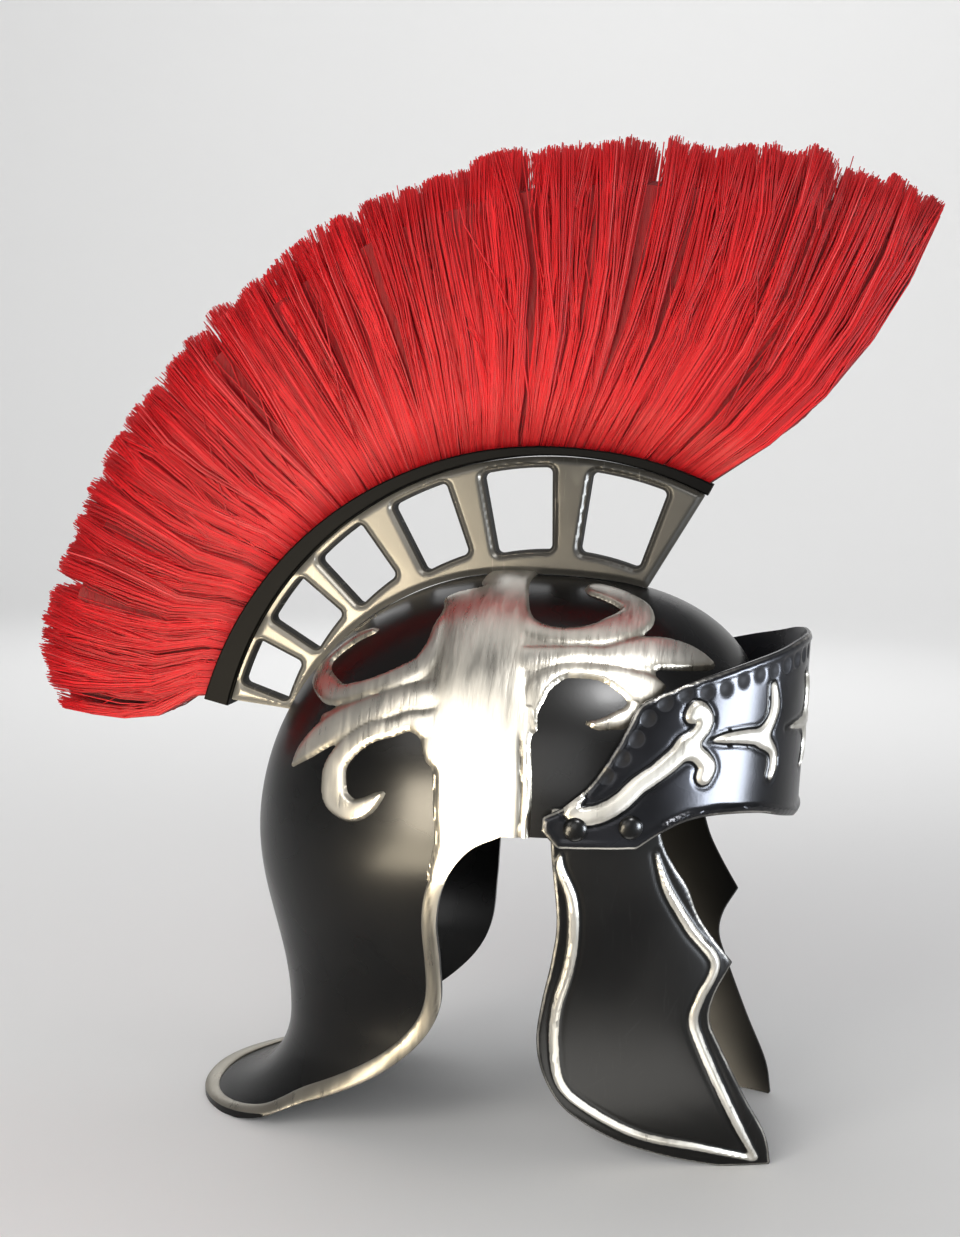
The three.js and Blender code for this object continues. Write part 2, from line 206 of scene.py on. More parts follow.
def prism(name, outline, pull):
    # a flat outline, pulled along one of the axes
    bm = bmesh.new()
    face = bm.faces.new([bm.verts.new((x * mm, y * mm, z * mm)) for x, y, z in outline])
    pulled = bmesh.ops.extrude_face_region(bm, geom=[face], use_keep_orig=True)
    moved = [g for g in pulled["geom"] if isinstance(g, bmesh.types.BMVert)]
    bmesh.ops.translate(bm, verts=moved, vec=Vector(pull) * mm)
    bmesh.ops.recalc_face_normals(bm, faces=bm.faces[:])
    return newPiece(name, bm)


def turned(profile, steps, distance=1e-6):
    # a profile of radii and heights, spun a full turn round the z axis
    bm = bmesh.new()
    line = [bm.verts.new((radius, 0, height)) for radius, height in profile]
    edges = [bm.edges.new(pair) for pair in zip(line[:-1], line[1:])]
    bmesh.ops.spin(bm, geom=[*line, *edges], cent=(0, 0, 0), axis=(0, 0, 1), angle=2 * math.pi,
                   steps=steps, use_merge=True, dvec=(0, 0, 0))
    weld(bm, distance)
    bmesh.ops.recalc_face_normals(bm, faces=bm.faces[:])
    return bm


def coordinates(mesh):
    co = np.empty(len(mesh.vertices) * 3)
    mesh.vertices.foreach_get("co", co)
    return co.reshape(-1, 3) / mm


def setAttribute(mesh, name, values):
    layer = mesh.attributes.new(name, "FLOAT", "POINT")
    layer.data.foreach_set("value", np.asarray(values, np.float32))


def plate(name, bounds, spacing, distance, surface, top, bottom, centre, marks=None, side=1,
          bothFaces=False):
    # A solid that lies on a curved surface. It covers the places whose distance is positive, and
    # top and bottom say how far its two faces stand out of the surface there. Its rim is moved onto
    # the line where the distance is zero. marks gives named values that the material reads.
    (p0, p1), (q0, q1) = bounds
    bm = bmesh.new()
    bmesh.ops.create_grid(bm, x_segments=int((p1 - p0) / spacing),
                          y_segments=int((q1 - q0) / spacing), size=0.5)
    share = np.array([v.co[:2] for v in bm.verts]) + 0.5
    p, q = mix(p0, p1, share[:, 0]), mix(q0, q1, share[:, 1])
    kept = distance(p, q) > -0.45 * spacing
    for v, a, b, keep in zip(bm.verts, p, q, kept):
        v.co = (a, b, 0)
        v.tag = bool(keep)
    outside = [f for f in bm.faces if not all(v.tag for v in f.verts)]
    bmesh.ops.delete(bm, geom=outside, context="FACES")
    trimRim(bm)
    rim = [v for v in bm.verts if v.is_boundary]
    order = {v: i for i, v in enumerate(rim)}
    beside = np.array([[order[e.other_vert(v)] for e in v.link_edges if e.is_boundary] for v in rim])
    flat = np.array([v.co[:2] for v in rim])
    step = 0.05
    for turn in range(7):
        a, b = flat[:, 0], flat[:, 1]
        d = distance(a, b)
        slope = np.stack([distance(a + step, b) - distance(a - step, b),
                          distance(a, b + step) - distance(a, b - step)], axis=1) / (2 * step)
        size = np.maximum((slope ** 2).sum(axis=1), 0.25)
        flat += np.clip(-(d / size)[:, None] * slope, -0.7 * spacing, 0.7 * spacing)
        if turn < 5:
            flat = flat / 2 + flat[beside].sum(axis=1) / 4
    for v, (a, b) in zip(rim, flat):
        v.co = (a, b, 0)
    bmesh.ops.remove_doubles(bm, verts=rim, dist=0.12 * spacing)
    trimRim(bm)
    grown = bmesh.ops.extrude_face_region(bm, geom=bm.faces[:], use_keep_orig=True)
    tops = {g for g in grown["geom"] if isinstance(g, bmesh.types.BMVert)}
    flat = np.array([v.co[:2] for v in bm.verts])
    isTop = np.array([v in tops for v in bm.verts])
    p, q = flat[:, 0], flat[:, 1]
    lift = np.where(isTop, top(p, q), bottom(p, q))
    at = surface(p, q) + normalsOf(surface, p, q, centre) * lift[:, None]
    at[:, 1] *= side
    for v, c in zip(bm.verts, at * mm):
        v.co = c
    bmesh.ops.recalc_face_normals(bm, faces=bm.faces[:])
    values = marks(p, q) if marks else {}
    piece = newPiece(name, bm)
    for key, value in values.items():
        setAttribute(piece.data, key, np.where(isTop | bothFaces, value, -9.0))
    return piece


def trimRim(bm):
    # no vertex may join two parts of the rim, or the solid made from it would touch itself
    while True:
        bmesh.ops.delete(bm, geom=[v for v in bm.verts if not v.link_faces], context="VERTS")
        bad = [v for v in bm.verts if sum(e.is_boundary for e in v.link_edges) > 2]
        if not bad:
            return
        faces = list({f for v in bad for f in v.link_faces})
        bmesh.ops.delete(bm, geom=faces, context="FACES")


def sweep(name, rings):
    # closed rings of points, bridged one to the next and capped
    rings = np.array(rings)
    count, around = rings.shape[:2]

    def place(u, v):
        i = np.rint(u * (count - 1)).astype(int)
        j = np.rint(v * around).astype(int) % around
        return rings[i, j]

    bm = shapedGrid(count - 1, around, place)
    weld(bm)
    closeHoles(bm)
    return newPiece(name, bm)


# Raised ornament: a stroke is a line of points with a radius at each

def strokeField(p, q, strokes, merge=2.5):
    # how far inside the nearest stroke each point lies, how high it stands and whether it is in
    # the valley between two strokes
    inside = np.full(p.shape, -99.0)
    first = np.zeros(p.shape)
    second = np.zeros(p.shape)
    for stroke in strokes:
        line = stroke["line"]
        reach = line[:, 2].max() + 12
        near = np.flatnonzero((p > line[:, 0].min() - reach) & (p < line[:, 0].max() + reach)
                              & (q > line[:, 1].min() - reach) & (q < line[:, 1].max() + reach))
        a, b = p[near], q[near]
        best = np.full(a.shape, -99.0)
        height = np.zeros(a.shape)
        for (x, y, radius), top in zip(line, stroke["tops"]):
            within = radius - np.hypot(a - x, b - y)
            best = np.maximum(best, within)
            height = np.maximum(height, top * dome(within / radius))
        inside[near] = smoothMax(inside[near], best, merge)
        second[near] = np.maximum(second[near], np.minimum(first[near], height))
        first[near] = np.maximum(first[near], height)
    valley = np.clip(1 - (first - second) / 0.3, 0, 1) * (second > 0.2)
    return inside, first, valley


def softRelief(inside, height, rise=1.7):
    # a raised line with sloping sides, for the plates whose grid doesn't follow it
    return ease(inside / rise) * (0.9 + 0.5 * height)


def roundedRim(edge, radius, drop=0.8):
    # how far a plate's face falls away towards its edge
    return drop * (dome(edge / radius) - 1)


def makeStroke(points, height, start=1.0, fade=1.0, thin=0.75):
    # a thinner stretch of a stroke stands lower, and its start can rise out of what it grows from
    line = evenPath(smoothPath(points, 8), 0.7)
    line[:, 2] = np.maximum(line[:, 2], 0.15)
    rise = ease(runOf(line[:, :2]) / fade)
    tops = height * mix(start, 1, rise) * (line[:, 2] / line[:, 2].max()) ** thin
    return {"line": line, "tops": tops}


print("shared tools ready")

# Skull

skull = {
    "crownTop": 253, "springLine": 132, "waist": 42, "tailTop": 1.4,
    "middle": 28, "back": 119, "front": 122, "half": 95.6, "sideLine": 150,
    "neckMiddle": 12, "neckBack": -76, "domeBack": -91, "tailReach": 42,
    "neckHalf": 65, "sideWaist": 50, "tailSpread": 33,
    "columns": 250, "centre": (28, 0, 125),
    "girth": 105,      # radius that turns the angle over the crown into a length
    "girthTop": 165,   # that length at the spring line
    "reliefSpacing": 0.85, "sink": 0.15, "reliefDepth": 1.2,
    "plateau": 1.1, "plateauEdge": 2.2, "fillet": 6.0,
    "rimBand": 3.9, "rimHeight": 1.5, "rimInset": 2.6,
    "tailX": -50, "tailDepth": 68, "tailHalf": 60,  # the round end of the tail, seen from above
}


def skullSection(z):
    k = skull
    rise = np.maximum(0, z - k["springLine"]) / (k["crownTop"] - k["springLine"])
    sideRise = np.maximum(0, z - k["sideLine"]) / (k["crownTop"] - k["sideLine"])
    drawIn = ease((z - k["waist"]) / (k["springLine"] - k["waist"]))
    flare = np.clip((k["waist"] - z) / (k["waist"] - k["tailTop"]), 0, 1)
    middle = mix(k["neckMiddle"], k["middle"], drawIn)
    curl = 1 - rest(flare, 2)
    backLine = mix(k["neckBack"], k["domeBack"], drawIn) - k["tailReach"] * curl
    sides = ease((z - k["sideWaist"]) / (k["sideLine"] - k["sideWaist"]))
    sides = mix(k["neckHalf"], k["half"], sides)
    inDome = z > k["springLine"]
    back = np.where(inDome, k["back"] * rest(rise, 2), middle - backLine)
    front = np.where(inDome, k["front"] * rest(rise, 3), middle + k["front"] - k["middle"])
    half = np.where(z > k["sideLine"], k["half"] * rest(sideRise, 2.3),
                    sides + k["tailSpread"] * curl)
    return middle, back, front, half


def skullPoint(x, s):
    # the point of the skull at x, a length s down over the crown from its middle line
    lean = np.clip(np.abs(s), 0, skull["girthTop"]) / skull["girth"]
    low = np.zeros(np.shape(x))
    high = np.full(np.shape(x), 160.0)  # farther out than any part of the shell
    for _ in range(34):
        out = (low + high) / 2
        z = skull["springLine"] + out * np.cos(lean)
        beyond = out * np.sin(lean) >= planHalf(x, *skullSection(z)) - 1e-9
        low, high = np.where(beyond, low, out), np.where(beyond, out, high)
    over = np.abs(s) > skull["girthTop"]
    z = np.where(over, skull["springLine"] - (np.abs(s) - skull["girthTop"]),
                 skull["springLine"] + high * np.cos(lean))
    y = np.where(over, planHalf(x, *skullSection(z)), high * np.sin(lean))
    return np.stack([x, -np.sign(s) * y, z], axis=-1)


skullEdge = [(-92, 0), (-76, 4.5), (-62, 11), (-42, 20), (-18, 34), (0, 51), (8, 68), (9, 90),
             (9, 112), (14, 131), (24, 145), (37, 152)]


def skullShell():
    k = skull
    flareRows = [k["waist"] - (k["waist"] - k["tailTop"]) * math.sin(math.radians(a))
                 for a in np.linspace(90, 6, 18)]
    neckRows = np.linspace(k["waist"], k["springLine"], 36)
    domeRows = k["springLine"] + (k["crownTop"] - k["springLine"]) * np.sin(
        np.radians(np.linspace(2, 90, 60)))
    rows = np.concatenate([flareRows, neckRows, domeRows])

    def place(u, v):
        z = rows[np.rint(v * (len(rows) - 1)).astype(int)]
        return planPoint(2 * np.pi * u, *skullSection(z), z)

    bm = shapedGrid(k["columns"], len(rows) - 1, place)
    weld(bm)
    bmesh.ops.recalc_face_normals(bm, faces=bm.faces[:])
    return newPiece("skull_visual", bm)


# the trunk of the ornament: x of its rear and front edge at each length down from the crown
trunk = {
    "rear": [(16, -40), (14, 0), (14, 23), (16, 30), (1, 36), (2, 46), (3, 63), (4, 76), (5, 87),
             (6, 97), (2, 107), (4, 114), (7, 118), (8, 133), (9, 146), (8, 154), (6, 162), (5, 172),
             (5, 180)],
    "front": [(36, -40), (36, 0), (36, 25), (40, 49), (40, 61), (42, 78), (45, 92), (47, 101),
              (49, 123), (49, 142), (49, 155), (49, 180)],
    "crown": 0.9, "roundTo": 13,
    "bead": (2.0, 1.0), "beadHeight": 0.5, "beadFrom": 98,
    "frontGroove": (4.4, 0.8), "rearGroove": (1.6, 0.8), "rearGrooveFrom": 112,
}

# each stroke's points are x, the length down from the crown and a radius, then its height
skullStrokes = {
    "backLoop": ([(10, 44, 3.6), (4, 54, 4.0), (2, 65, 4.4), (-2, 74, 5.3), (-10, 78, 5.3),
                  (-22, 80, 4.4), (-35, 80, 4.9), (-44, 76, 5.3), (-53, 60, 4.8), (-53, 49, 4.6),
                  (-46, 45, 4.2), (-38, 44, 3.6), (-30, 46, 2.0)], 1.2),
    "backLeaf": ([(14, 82, 4.5), (4, 87, 5.3), (-8, 88, 5.3), (-20, 91, 6.2), (-32, 94, 7.6),
                  (-44, 97, 8.0), (-53, 102, 6.2), (-62, 110, 0.3)], 1.4),
    "hook": ([(15, 96, 4.5), (4, 99, 5.3), (-4, 98, 4.0), (-12, 100, 4.0), (-22, 101, 4.9),
              (-31, 106, 5.3),
              (-37, 113, 5.8), (-38, 121, 6.0), (-36, 131, 6.4), (-29, 136, 5.8), (-22, 134, 4.4),
              (-17, 130, 2.7), (-13, 127, 0.4)], 1.4),
    "frontLoop": ([(24, 44, 4.5), (33, 52, 5.0), (43, 57, 4.5), (52, 59, 4.3), (61, 58, 4.7),
                   (70, 55, 5.8), (77, 50, 7.0), (82, 45, 7.6), (85, 39, 7.6), (84, 33, 7.4),
                   (79, 29, 7.0), (73, 26, 7.0), (67, 24, 6.6)], 1.2),
    "frontLeaf": ([(24, 74, 4.5), (36, 72, 5.0), (50, 70, 4.8), (57, 68, 3.8), (65, 66, 3.5),
                   (74, 65, 4.0), (81, 63, 5.8), (89, 59, 7.4), (97, 55, 8.0), (104, 52, 7.4),
                   (111, 49, 5.6), (116, 47, 3.0), (119, 45, 0.3)], 1.4),
    "frontArch": ([(45, 92, 3.6), (47, 87, 4.4), (49, 82, 4.4), (53, 78, 3.8), (58, 75, 3.1),
                   (64, 74, 2.8), (72, 73, 3.2), (78, 73, 4.3), (84, 74, 5.8), (89, 75, 6.8),
                   (93, 73, 5.4), (97, 71, 2.8), (100, 70, 0.3)], 1.2),
    "smallLeaf": ([(89, 78, 3.4), (88, 83, 3.0), (86, 87, 3.2), (83, 90, 3.8), (79, 92, 3.0),
                   (74, 94, 2.1), (71, 94, 1.2), (67, 94, 0.3)], 1.0),
    "spur": ([(45, 88, 3.0), (46, 92, 2.4), (47.5, 95, 1.5), (49, 99, 0.3)], 0.8),
}
# flat silver ground between the strokes where they part
skullWebs = [
    [(24, 50, 6), (38, 60, 7), (50, 63, 4.2), (62, 62, 3.6), (72, 60, 3.4), (80, 56, 3.0)],
    [(26, 86, 8), (40, 80, 8), (52, 74, 4.6), (64, 70, 3.6), (76, 69, 3.6), (84, 68, 4.4),
     (92, 66, 3.0)],
    [(16, 70, 8), (4, 80, 6), (-8, 83, 4.2), (-22, 86, 3.6), (-36, 89, 3.6), (-46, 88, 2.5)],
    [(14, 92, 8), (2, 93, 5), (-12, 95, 3.6), (-26, 99, 3.6), (-34, 103, 3.0)],
]
skullRelief = [makeStroke(points, height, start=0.2, fade=14)
               for points, height in skullStrokes.values()]
skullGround = [makeStroke(points, 0.0) for points in skullWebs]
trunkRear, trunkFront = (smoothPath(trunk[side], 6) for side in ("rear", "front"))


def trunkField(x, s):
    k = trunk
    fromRear = x - np.interp(s, trunkRear[:, 1], trunkRear[:, 0])
    fromFront = np.interp(s, trunkFront[:, 1], trunkFront[:, 0]) - x
    inside = np.minimum(fromRear, fromFront)
    lower = ease((s - k["beadFrom"]) / 8)
    bead = k["beadHeight"] * ridge(fromFront, *k["bead"]) * lower
    groove = ridge(fromFront, *k["frontGroove"]) * lower
    groove += ridge(fromRear, *k["rearGroove"]) * ease((s - k["rearGrooveFrom"]) / 6)
    crown = k["crown"] * dome(inside / k["roundTo"]) * (inside > 0)
    return inside, crown, bead, groove


def skullField(x, s):
    # how far inside the ornament each point lies, how high it stands and how deep in a groove it is
    s = np.abs(s)
    strokes, rise, valley = strokeField(x, s, skullRelief)
    strokes = smoothMax(strokes, strokeField(x, s, skullGround)[0], 3.0)
    inTrunk, crown, bead, groove = trunkField(x, s)
    rise = rise * (1 - ease((inTrunk + 1) / 8))
    inside = smoothMax(strokes, inTrunk, skull["fillet"])
    plateau = skull["plateau"] * dome(inside / skull["plateauEdge"])
    height = plateau + smoothMax(rise, crown, 0.5) + (bead - 0.7 * groove) * (inTrunk > 0)
    valley = np.maximum(valley * (1 - ease((inTrunk - 1) / 6)), groove * (inTrunk > 0))
    return inside, np.where(inside > 0, height, 0), valley


def tailLine(shares, inset=0.0):
    # the round end of the tail from above, from its right side to its left
    half, depth = skull["tailHalf"] - inset, skull["tailDepth"] - inset
    across = half * np.sin(shares * np.pi / 2)
    return [(skull["tailX"] - depth * float(rest(abs(y) / half, roundness)), y) for y in across]


def rimPath():
    # down the side of the neck guard, round its tail and up the other side
    edge = np.vstack([[(46, 152)], smoothPath(skullEdge[::-1], 6)])
    along = unit(np.gradient(edge, axis=0))
    inner = edge + np.stack([along[:, 1], -along[:, 0]], axis=1) * skull["rimBand"] * 0.75
    inner = inner[inner[:, 0] > -60]
    side = [(x, -float(planHalf(x, *skullSection(z))), z) for x, z in inner]
    return side, tailLine(np.linspace(-0.78, 0.78, 41), skull["rimInset"])


def dropOnto(tree, x, y):
    above = Vector((x, y, skull["waist"] - 2)) * mm
    return tree.ray_cast(above, Vector((0, 0, -1)))[0]


def rimBead(shell):
    tree = BVHTree.FromObject(shell, bpy.context.evaluated_depsgraph_get())
    side, tail = rimPath()
    tailSpots = []
    for x, y in tail:
        hit = dropOnto(tree, x, y)
        if hit is not None:
            tailSpots.append(tuple(np.array(hit) / mm))
    mirrored = [(x, -y, z) for x, y, z in side[::-1]]
    line = evenPath(np.array([*side, *tailSpots, *mirrored]), 2.0)
    for _ in range(14):
        line[1:-1] = (line[:-2] + 2 * line[1:-1] + line[2:]) / 4
    spots, ups = [], []
    for at in line:
        spot, up, _, _ = tree.find_nearest(Vector(at * mm))
        spots.append(np.array(spot) / mm)
        ups.append(np.array(up))
    spots, ups = np.array(spots), np.array(ups)
    for _ in range(10):
        ups[1:-1] = (ups[:-2] + 2 * ups[1:-1] + ups[2:]) / 4
    ups = unit(ups)
    along = unit(np.gradient(spots, axis=0))
    across = unit(np.cross(ups, along))
    turns = np.radians(np.linspace(0, 180, 11))
    half, height = skull["rimBand"], skull["rimHeight"]
    section = [(half * math.cos(a), height * math.sin(a) ** 0.7) for a in turns]
    section += [(-half, -1.0), (half, -1.0)]
    rings = [[spot + a * b + up * n for b, n in section]
             for spot, a, up in zip(spots, across, ups)]
    return sweep("neck_rim", rings)


def makeSkull(black, silver):
    shell = skullShell()
    bead = rimBead(shell)
    shell.data.materials.append(black)
    bead.data.materials.append(silver)
    thicken = shell.modifiers.new("wall", "SOLIDIFY")
    thicken.thickness = wall * mm
    thicken.offset = -1
    thicken.use_even_offset = True
    applyModifiers(shell)
    print("skull shell", len(shell.data.polygons))
    relief = plate("relief", ((-66, 124), (-168, 168)), skull["reliefSpacing"],
                   lambda x, s: skullField(x, s)[0], skullPoint,
                   lambda x, s: skullField(x, s)[1] - skull["sink"],
                   lambda x, s: 0 * x - skull["reliefDepth"], skull["centre"])
    relief.data.materials.append(silver)
    print("skull relief", len(relief.data.polygons))
    combine(shell, relief, "UNION")
    combine(shell, bead, "UNION")
    edge = smoothPath(skullEdge, 10)
    # the side view that is kept, and what is cut off round the tail, both drawn well past the shell
    kept = [(-200, 0), *edge, (98, 152), (112, 166), (170, 168), (170, 300), (-200, 300)]
    combine(shell, prism("kept", [(x, -120, z) for x, z in kept], (0, 240, 0)), "INTERSECT")
    tailX = skull["tailX"]
    cut = [*tailLine(np.linspace(-1, 1, 61)), (tailX, 150), (-220, 150), (-220, -150), (tailX, -150)]
    below = 5
    trim = prism("tail_trim", [(x, y, -below) for x, y in cut], (0, 0, below + skull["waist"]))
    combine(shell, trim, "DIFFERENCE")
    co = coordinates(shell.data)
    over = co[:, 2] >= skull["springLine"]
    s = np.where(over, skull["girth"] * np.arctan2(np.abs(co[:, 1]), co[:, 2] - skull["springLine"]),
                 skull["girthTop"] + skull["springLine"] - co[:, 2])
    inside, height, valley = skullField(co[:, 0], s)
    # valley marks the creases and grooves that the silver paint darkens as painted shade
    setAttribute(shell.data, "valley", valley)
    setAttribute(shell.data, "raised", height)
    setAttribute(shell.data, "silver", inside)
    smoothShade(shell, 38)
    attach(shell, "root")
    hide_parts("skull")


# Brow band

band = {
    "middle": 28, "reach": 130, "lean": 0.03, "leanFrom": 155, "half": 101.4, "draw": 0.2,
    "drawFrom": 160, "spacing": 0.95, "measureAt": 190, "centre": (28, 0, 190),
    "edgeRound": 1.3, "rim": (2.4, 1.0), "rimHeight": 0.5, "groove": (-0.9, 0.7), "grooveDepth": 0.45,
    "scallop": 4.4, "scallopEvery": 9.5, "dent": 0.8, "bead": (3.2, 1.0), "beadHeight": 0.7,
}


def bandSection(z):
    k = band
    front = k["reach"] + k["lean"] * (z - k["leanFrom"])
    half = k["half"] - k["draw"] * np.maximum(0, z - k["drawFrom"])
    return k["middle"], k["reach"], front, half


bandAngles = np.linspace(0, np.pi / 2 * 0.97, 600)
bandLine = planPoint(bandAngles, *bandSection(band["measureAt"]), band["measureAt"])
bandRun = runOf(bandLine)


def bandLength(x):
    # the length along the band from its front centre to the place at x
    return np.interp(-np.asarray(x, float), -bandLine[:, 0], bandRun)


def bandPoint(w, z):
    angle = np.interp(np.abs(w), bandRun, bandAngles)
    return planPoint(-np.sign(w) * angle, *bandSection(z), z)


bandUpper = [(54.5, 162), (63, 166), (73, 175), (81, 187), (87, 199), (91, 207), (99, 211.5),
             (114, 217.5), (134, 224), (147, 228), (154, 231), (157.6, 232.3)]
bandLower = [(54.5, 156), (61, 149), (93, 149), (103, 155.5), (113, 160), (125, 161.5), (141, 160),
             (152, 155.5), (157.8, 151.5)]


def bandCurve(points, sharp):
    # through the points, as straight lines for the first ones and a smooth curve for the rest
    straight = [(float(bandLength(x)), z) for x, z in points[:sharp]]
    curved = smoothPath([(float(bandLength(x)), z) for x, z in points[sharp:]], 8)
    return [*straight, *map(tuple, curved)]


def bandOutline():
    upper, lower = bandCurve(bandUpper, 1), bandCurve(bandLower, 2)
    across = [(-25, upper[-1][1]), (-25, lower[-1][1])]
    return [*upper, *across, *lower[::-1]]


visorStrokes = [
    [(68, 171, 3.4), (66, 166, 3.4), (69, 163, 3.7), (74, 163, 4.0), (80, 165, 4.0), (86, 169, 4.0),
     (92, 175, 4.0), (99, 180, 4.0), (105, 185, 4.3), (110, 190, 4.3)],
    [(110, 190, 4.3), (115, 196, 3.7), (117, 201, 4.1), (114, 205, 4.3), (112, 203, 3.7)],
    [(110, 190, 4.3), (115, 187, 3.7), (119, 182, 4.1), (118, 178, 3.9)],
    [(119, 192, 0.2), (126, 193, 2.2), (134, 193, 3.1), (141, 192, 4.0)],
    [(141, 193, 3.6), (144, 199, 3.1), (145, 205, 3.2), (144, 213, 2.2)],
    [(141, 191, 3.6), (145, 186, 2.8), (146, 180, 2.7), (145, 175, 2.1)],
]


def inBandLength(points):
    return [(float(bandLength(x)), z, radius) for x, z, radius in points]


visorRelief = [makeStroke(inBandLength(points), 1.0, thin=0.5) for points in visorStrokes]
frontSprig = [[(40, 194, 0.3), (31, 194, 1.8), (22, 194, 2.8), (13, 194, 3.4), (0, 194, 3.8)],
              [(15, 196, 3.0), (12, 203, 3.2), (13, 210, 2.8), (17, 215, 1.8)],
              [(15, 192, 3.0), (12, 186, 2.8), (13, 180, 2.4), (17, 175, 1.6)]]
visorRelief += [makeStroke(points, 1.0, thin=0.5) for points in frontSprig]
scallopLine = [(79, 179), (85, 186), (91, 195), (95, 203), (102, 209), (111, 212), (123, 213),
               (133, 217), (139, 218.5), (144, 219.5), (150, 221.5), (155, 223.5), (158, 225)]


def bandField(w, z):
    w = np.abs(w)
    edge = outlineDistance(bandShape, w, z)
    inside, height, _ = strokeField(w, z, visorRelief)
    scallop = np.full(w.shape, -99.0)
    for a, b in scallopSpots:
        scallop = np.maximum(scallop, band["scallop"] - np.hypot(w - a, z - b))
    lower = np.interp(w, lowerBead[:, 0], lowerBead[:, 1])
    bead = ridge(z - lower, *band["bead"]) * (w < lowerBead[-1, 0])
    return edge, inside, height, scallop, bead


bandShape = bandOutline()
lowerBead = np.array(sorted((float(bandLength(x)), z) for x, z in bandLower[3:]))
scallopSpots = evenPath(smoothPath([(float(bandLength(x)), z) for x, z in scallopLine], 6),
                        band["scallopEvery"])


def makeBand(material):
    def top(w, z):
        edge, inside, height, scallop, bead = bandField(w, z)
        rim = band["rimHeight"] * ridge(edge, *band["rim"])
        dent = -band["dent"] * ease(scallop / 4)
        groove = -band["grooveDepth"] * ridge(inside, *band["groove"])
        rounding = roundedRim(edge, band["edgeRound"])
        return (rounding + rim + dent + groove + softRelief(inside, height)
                + band["beadHeight"] * bead)

    def marks(w, z):
        edge, inside, _, scallop, _ = bandField(w, z)
        return {"silver": inside, "edge": edge, "scallop": scallop}

    farEnd = bandRun[-1]
    piece = plate("brow_band_visual", ((-farEnd, farEnd), (147, 242)), band["spacing"],
                  lambda w, z: outlineDistance(bandShape, np.abs(w), z), bandPoint, top,
                  lambda w, z: 0 * w - wall, band["centre"], marks)
    smoothShade(piece, 40)
    piece.data.materials.append(material)
    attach(piece, "root")
    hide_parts("brow_band")


# Cheek guards

cheek = {
    "topHeight": 155, "inset": 2.875, "reachAtChin": 163, "halfAtChin": 60, "lean": 0.2,
    "leanFrom": 158, "spacing": 0.85, "centre": (60, 0, 90),
    "edgeRound": 1.4, "groove": (-0.9, 0.8), "grooveDepth": 0.35, "beadRise": 1.6,
    "belly": 0.4, "bellyFrom": 9, "bellyWide": 22, "flatAbove": 147,
}


def cheekSection(z):
    k = cheek
    spread = np.sin(np.pi / 2 * np.clip(z / k["topHeight"], 0, 1))
    front = mix(k["reachAtChin"], band["reach"] - k["inset"], spread)
    half = mix(k["halfAtChin"], band["half"] - k["inset"], spread)
    return band["middle"], band["reach"], front, half - k["lean"] * np.maximum(0, z - k["leanFrom"])


def cheekPoint(x, z):
    return np.stack([x, planHalf(x, *cheekSection(z)), z + 0 * x], axis=-1)


# the rear and lower edge, then the front edge up to its corner and on from it
cheekEdges = [
    [(57.5, 165), (58, 148), (61, 118), (59, 99), (55, 80), (52.5, 62), (54.5, 46), (61, 31),
     (71, 21), (88, 11), (110, 4), (130, 0)],
    [(153, 0), (150, 15), (140, 35), (129, 59), (124.5, 71), (126, 82), (133, 96)],
    [(133, 96), (124.5, 108), (118, 119), (113.5, 131), (108, 140), (103, 150), (100, 165)],
]
cheekShape = [tuple(point) for edge in cheekEdges for point in smoothPath(edge, 6)]
cheekBeads = [
    [(62, 146, 0.6), (62, 140, 1.8), (67, 127, 2.2), (68, 112, 2.3), (66, 96, 2.3), (61, 77, 2.3),
     (60, 58, 2.3), (63, 40, 2.3), (75, 28, 2.3), (96, 16, 2.3), (122, 10, 2.1), (144, 4, 1.6)],
    [(100, 146, 0.8), (105, 131, 1.9), (115, 113, 2.2), (125.5, 97, 2.2), (120, 82, 2.2),
     (117.5, 72, 2.2), (121, 60, 2.2), (130, 38, 2.2), (139, 18, 2.0), (146, 4, 1.4)],
]
cheekRelief = [makeStroke(points, 1.0, thin=0.4) for points in cheekBeads]


def makeCheek(hand, side, material):
    def top(x, z):
        edge = outlineDistance(cheekShape, x, z)
        inside, height, _ = strokeField(x, z, cheekRelief)
        groove = -cheek["grooveDepth"] * ridge(inside, *cheek["groove"])
        belly = cheek["belly"] * ease((edge - cheek["bellyFrom"]) / cheek["bellyWide"])
        lift = roundedRim(edge, cheek["edgeRound"]) + groove
        lift = lift + softRelief(inside, height, cheek["beadRise"]) - belly
        return np.where(z > cheek["flatAbove"], np.minimum(lift, 0), lift)

    def marks(x, z):
        inside, _, _ = strokeField(x, z, cheekRelief)
        return {"silver": inside, "edge": outlineDistance(cheekShape, x, z)}

    piece = plate(f"cheek_guard_{hand}_visual", ((50, 156), (-1, 166)), cheek["spacing"],
                  lambda x, z: outlineDistance(cheekShape, x, z), cheekPoint, top,
                  lambda x, z: 0 * x - wall, cheek["centre"], marks, side)
    smoothShade(piece, 40)
    piece.data.materials.append(material)
    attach(piece, "root")
    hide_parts(f"cheek_guard_{hand}")


# Crest holder and channel

crest = {
    "x": 43, "z": 150, "radius": 157, "rear": 166.3, "end": 64.5, "half": 6, "gap": 0.35,
    "dome": (184, 248.5),  # heights at the rear and the front where it stands on the skull
    "spacing": 0.8, "windowCorner": 2.6, "windowRadius": 137, "edgeHalf": 4.6, "edgeWide": 3.2,
    "line": (1.5, 0.6), "lineDepth": 0.6,
    "channelHalf": 8, "channelFloor": 1.5, "grooveHalf": 5.35, "channelCorner": 0.7,
    "channelLow": 84, "wallLow": 4, "wallRear": 12, "wallFront": 5.5,
}
